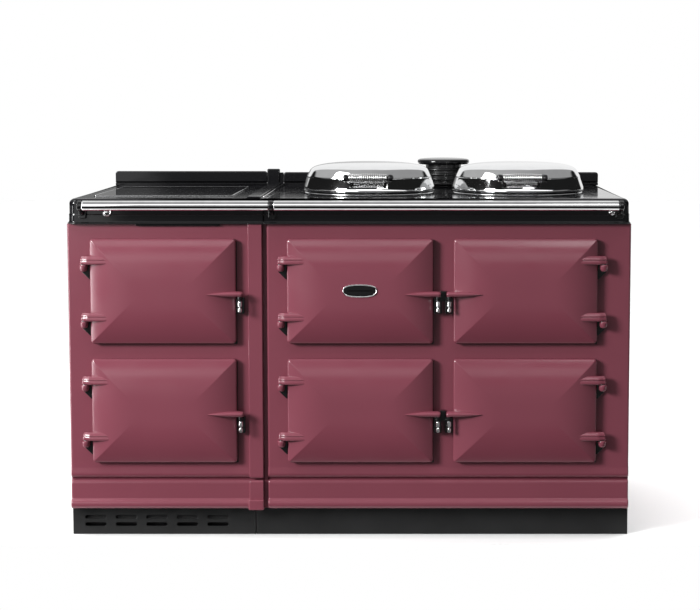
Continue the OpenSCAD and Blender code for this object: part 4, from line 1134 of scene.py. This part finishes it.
# printed dial marks and pilot lamps on the control panel
g = Geo()
for off in (-104, 0, 104):
    for k in range(28):
        a = math.radians(90 - 270 * k / 27)
        r0, r1 = (28, 34) if k % 3 == 0 else (29, 32)
        hw = 0.7 if k % 3 == 0 else 0.4
        c, s = math.cos(a), math.sin(a)
        x, z = KX + off, KZ
        q = [(x + r0 * c - hw * s, z + r0 * s + hw * c), (x + r0 * c + hw * s, z + r0 * s - hw * c), (x + r1 * c + hw * s, z + r1 * s - hw * c), (x + r1 * c - hw * s, z + r1 * s + hw * c)]
        q = q if poly_area(q) > 0 else list(reversed(q))
        g.slab(q, [(0, PY + 0.5), (0, PY - 0.25)], mapf=xz)
g.done("dial_marks", M["ink"], ROOT, "panel_black", sharp=30)
lamp = Mat("pilot_lens", (0.35, 0.02, 0.01, 1), rough=0.15, coat=1.0)
lamp.set("Base Color", lamp.ramp(lamp.noise(900, 2, 0.5), [(0.3, (0.28, 0.015, 0.01)), (0.7, (0.42, 0.03, 0.015))]))
g = Geo()
for off in (-52, 52):
    g.lathe([(0, -3.2), (2.4, -2.9), (4.0, -1.8), (4.6, 0.3), (0, 0.3)], (KX + off, PY, KZ + 52), "y", 32)
g.done("pilot_lenses", lamp.m, ROOT, "panel_black", sharp=50)

# ------------------------------------------------------------------ cabinet sides and back, and small carried-over parts
side_m = M["enamel"]


def cabinet():
    g = Geo()
    for x in (XL0, XL1 - 3, XR0, XR1 - 3):
        g.slab(rrect(Y_IN, Y_PANEL, PLINTH + 10, Z_FRONT, 1.2, 3), [(1.15, x)] + bevel_prof(x, x + 3, 0.8, 0.8, 3) + [(1.15, x + 3)], mapf=lambda a, b, d: (d, a, b))
    for x0, x1 in ((XL0 + 3.2, XL1 - 3.2), (XR0 + 3.2, XR1 - 3.2)):
        g.slab(rrect(x0, x1, PLINTH + 10, Z_FRONT, 1.2, 3), bevel_prof(Y_PANEL - 3, Y_PANEL, 0, 0.8, 3) + [(1.15, Y_PANEL)], mapf=xz)
    g.done("cabinet_sheets", side_m, ROOT, "enamel_side", ["cabinet_panels"], sharp=8)
    # louvres and screws on the back panels
    g = Geo()
    for x0, x1 in ((XL0 + 60, XL1 - 60), (XR0 + 80, XR0 + 420)):
        for k in range(7):
            z = 640 + k * 20
            sec = [(Y_PANEL - 0.5, z), (Y_PANEL + 3.6, z + 1.0), (Y_PANEL + 4.2, z + 2.0), (Y_PANEL + 3.6, z + 3.4), (Y_PANEL - 0.5, z + 10)]
            g.loft([[(x, yy, zz) for yy, zz in sec] for x in (x0, x1)])
    g.done("back_louvres", side_m, ROOT, "enamel_side", sharp=30)
    g = Geo()
    for x in (XL0 + 18, (XL0 + XL1) / 2, XL1 - 18, XR0 + 18, XR0 + 260, XR0 + 500, XR0 + 740, XR1 - 18):
        for z in (PLINTH + 30, 460, Z_FRONT - 20):
            g.lathe([(0, -0.5), (5.2, -0.5), (5.2, 0.6), (4.6, 1.8), (3.0, 2.8), (0, 3.2)], (x, Y_PANEL, z), "y", 20)
    g.done("back_screws", M["zinc"], ROOT, "steel_zinc", sharp=50)


cabinet()

# terminal box lid and gland
g = Geo()
bx0, bx1 = HX - 180, HX - 40
g.slab(rrect(bx0, bx1, 150, 250, 6, 5), bevel_prof(Y_PANEL, Y_BACK - 1, 0, 2.6, 4), mapf=xz)
for cx in (bx0 + 12, bx1 - 12):
    for cz in (162, 238):
        g.lathe([(0, -1), (4.4, -1), (4.4, 0.3), (0, 0.4)], (cx, Y_BACK - 1, cz), "y", 24)
gx = HX - 110
g.slab(circle(gx, Y_PANEL + 18, 15, 6), bevel_prof(150.5, 141, 0, 0, 2)[::-1])
g.lathe([(9, 131.8), (13.2, 131.8), (14.4, 133), (14.8, 135), (14.8, 141), (9, 141), (9, 131.8)], (gx, Y_PANEL + 18, 0), "z", 48)
g.done("terminal_cover", M["plastic"], ROOT, "box_plastic", ["terminal_box"], sharp=40)

# carried-over nodes: their shape is right, so they only take a finish
KEEP = {"levelling_feet": M["zinc"], "base_plates": M["zinc"], "insulation": M["packing"], "heating_elements": M["element"],
        "ovens_left": M["oven"], "ovens_right": M["oven"], "oven_shelves": M["shelf"], "control_box": M["steel"],
        "control_panel": M["panel"], "hinge_pins": M["zinc"]}
for name, mat in KEEP.items():
    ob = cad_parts[name]
    if not ob.material_slots:
        ob.data.materials.append(mat)
    for s in ob.material_slots:
        s.material = mat
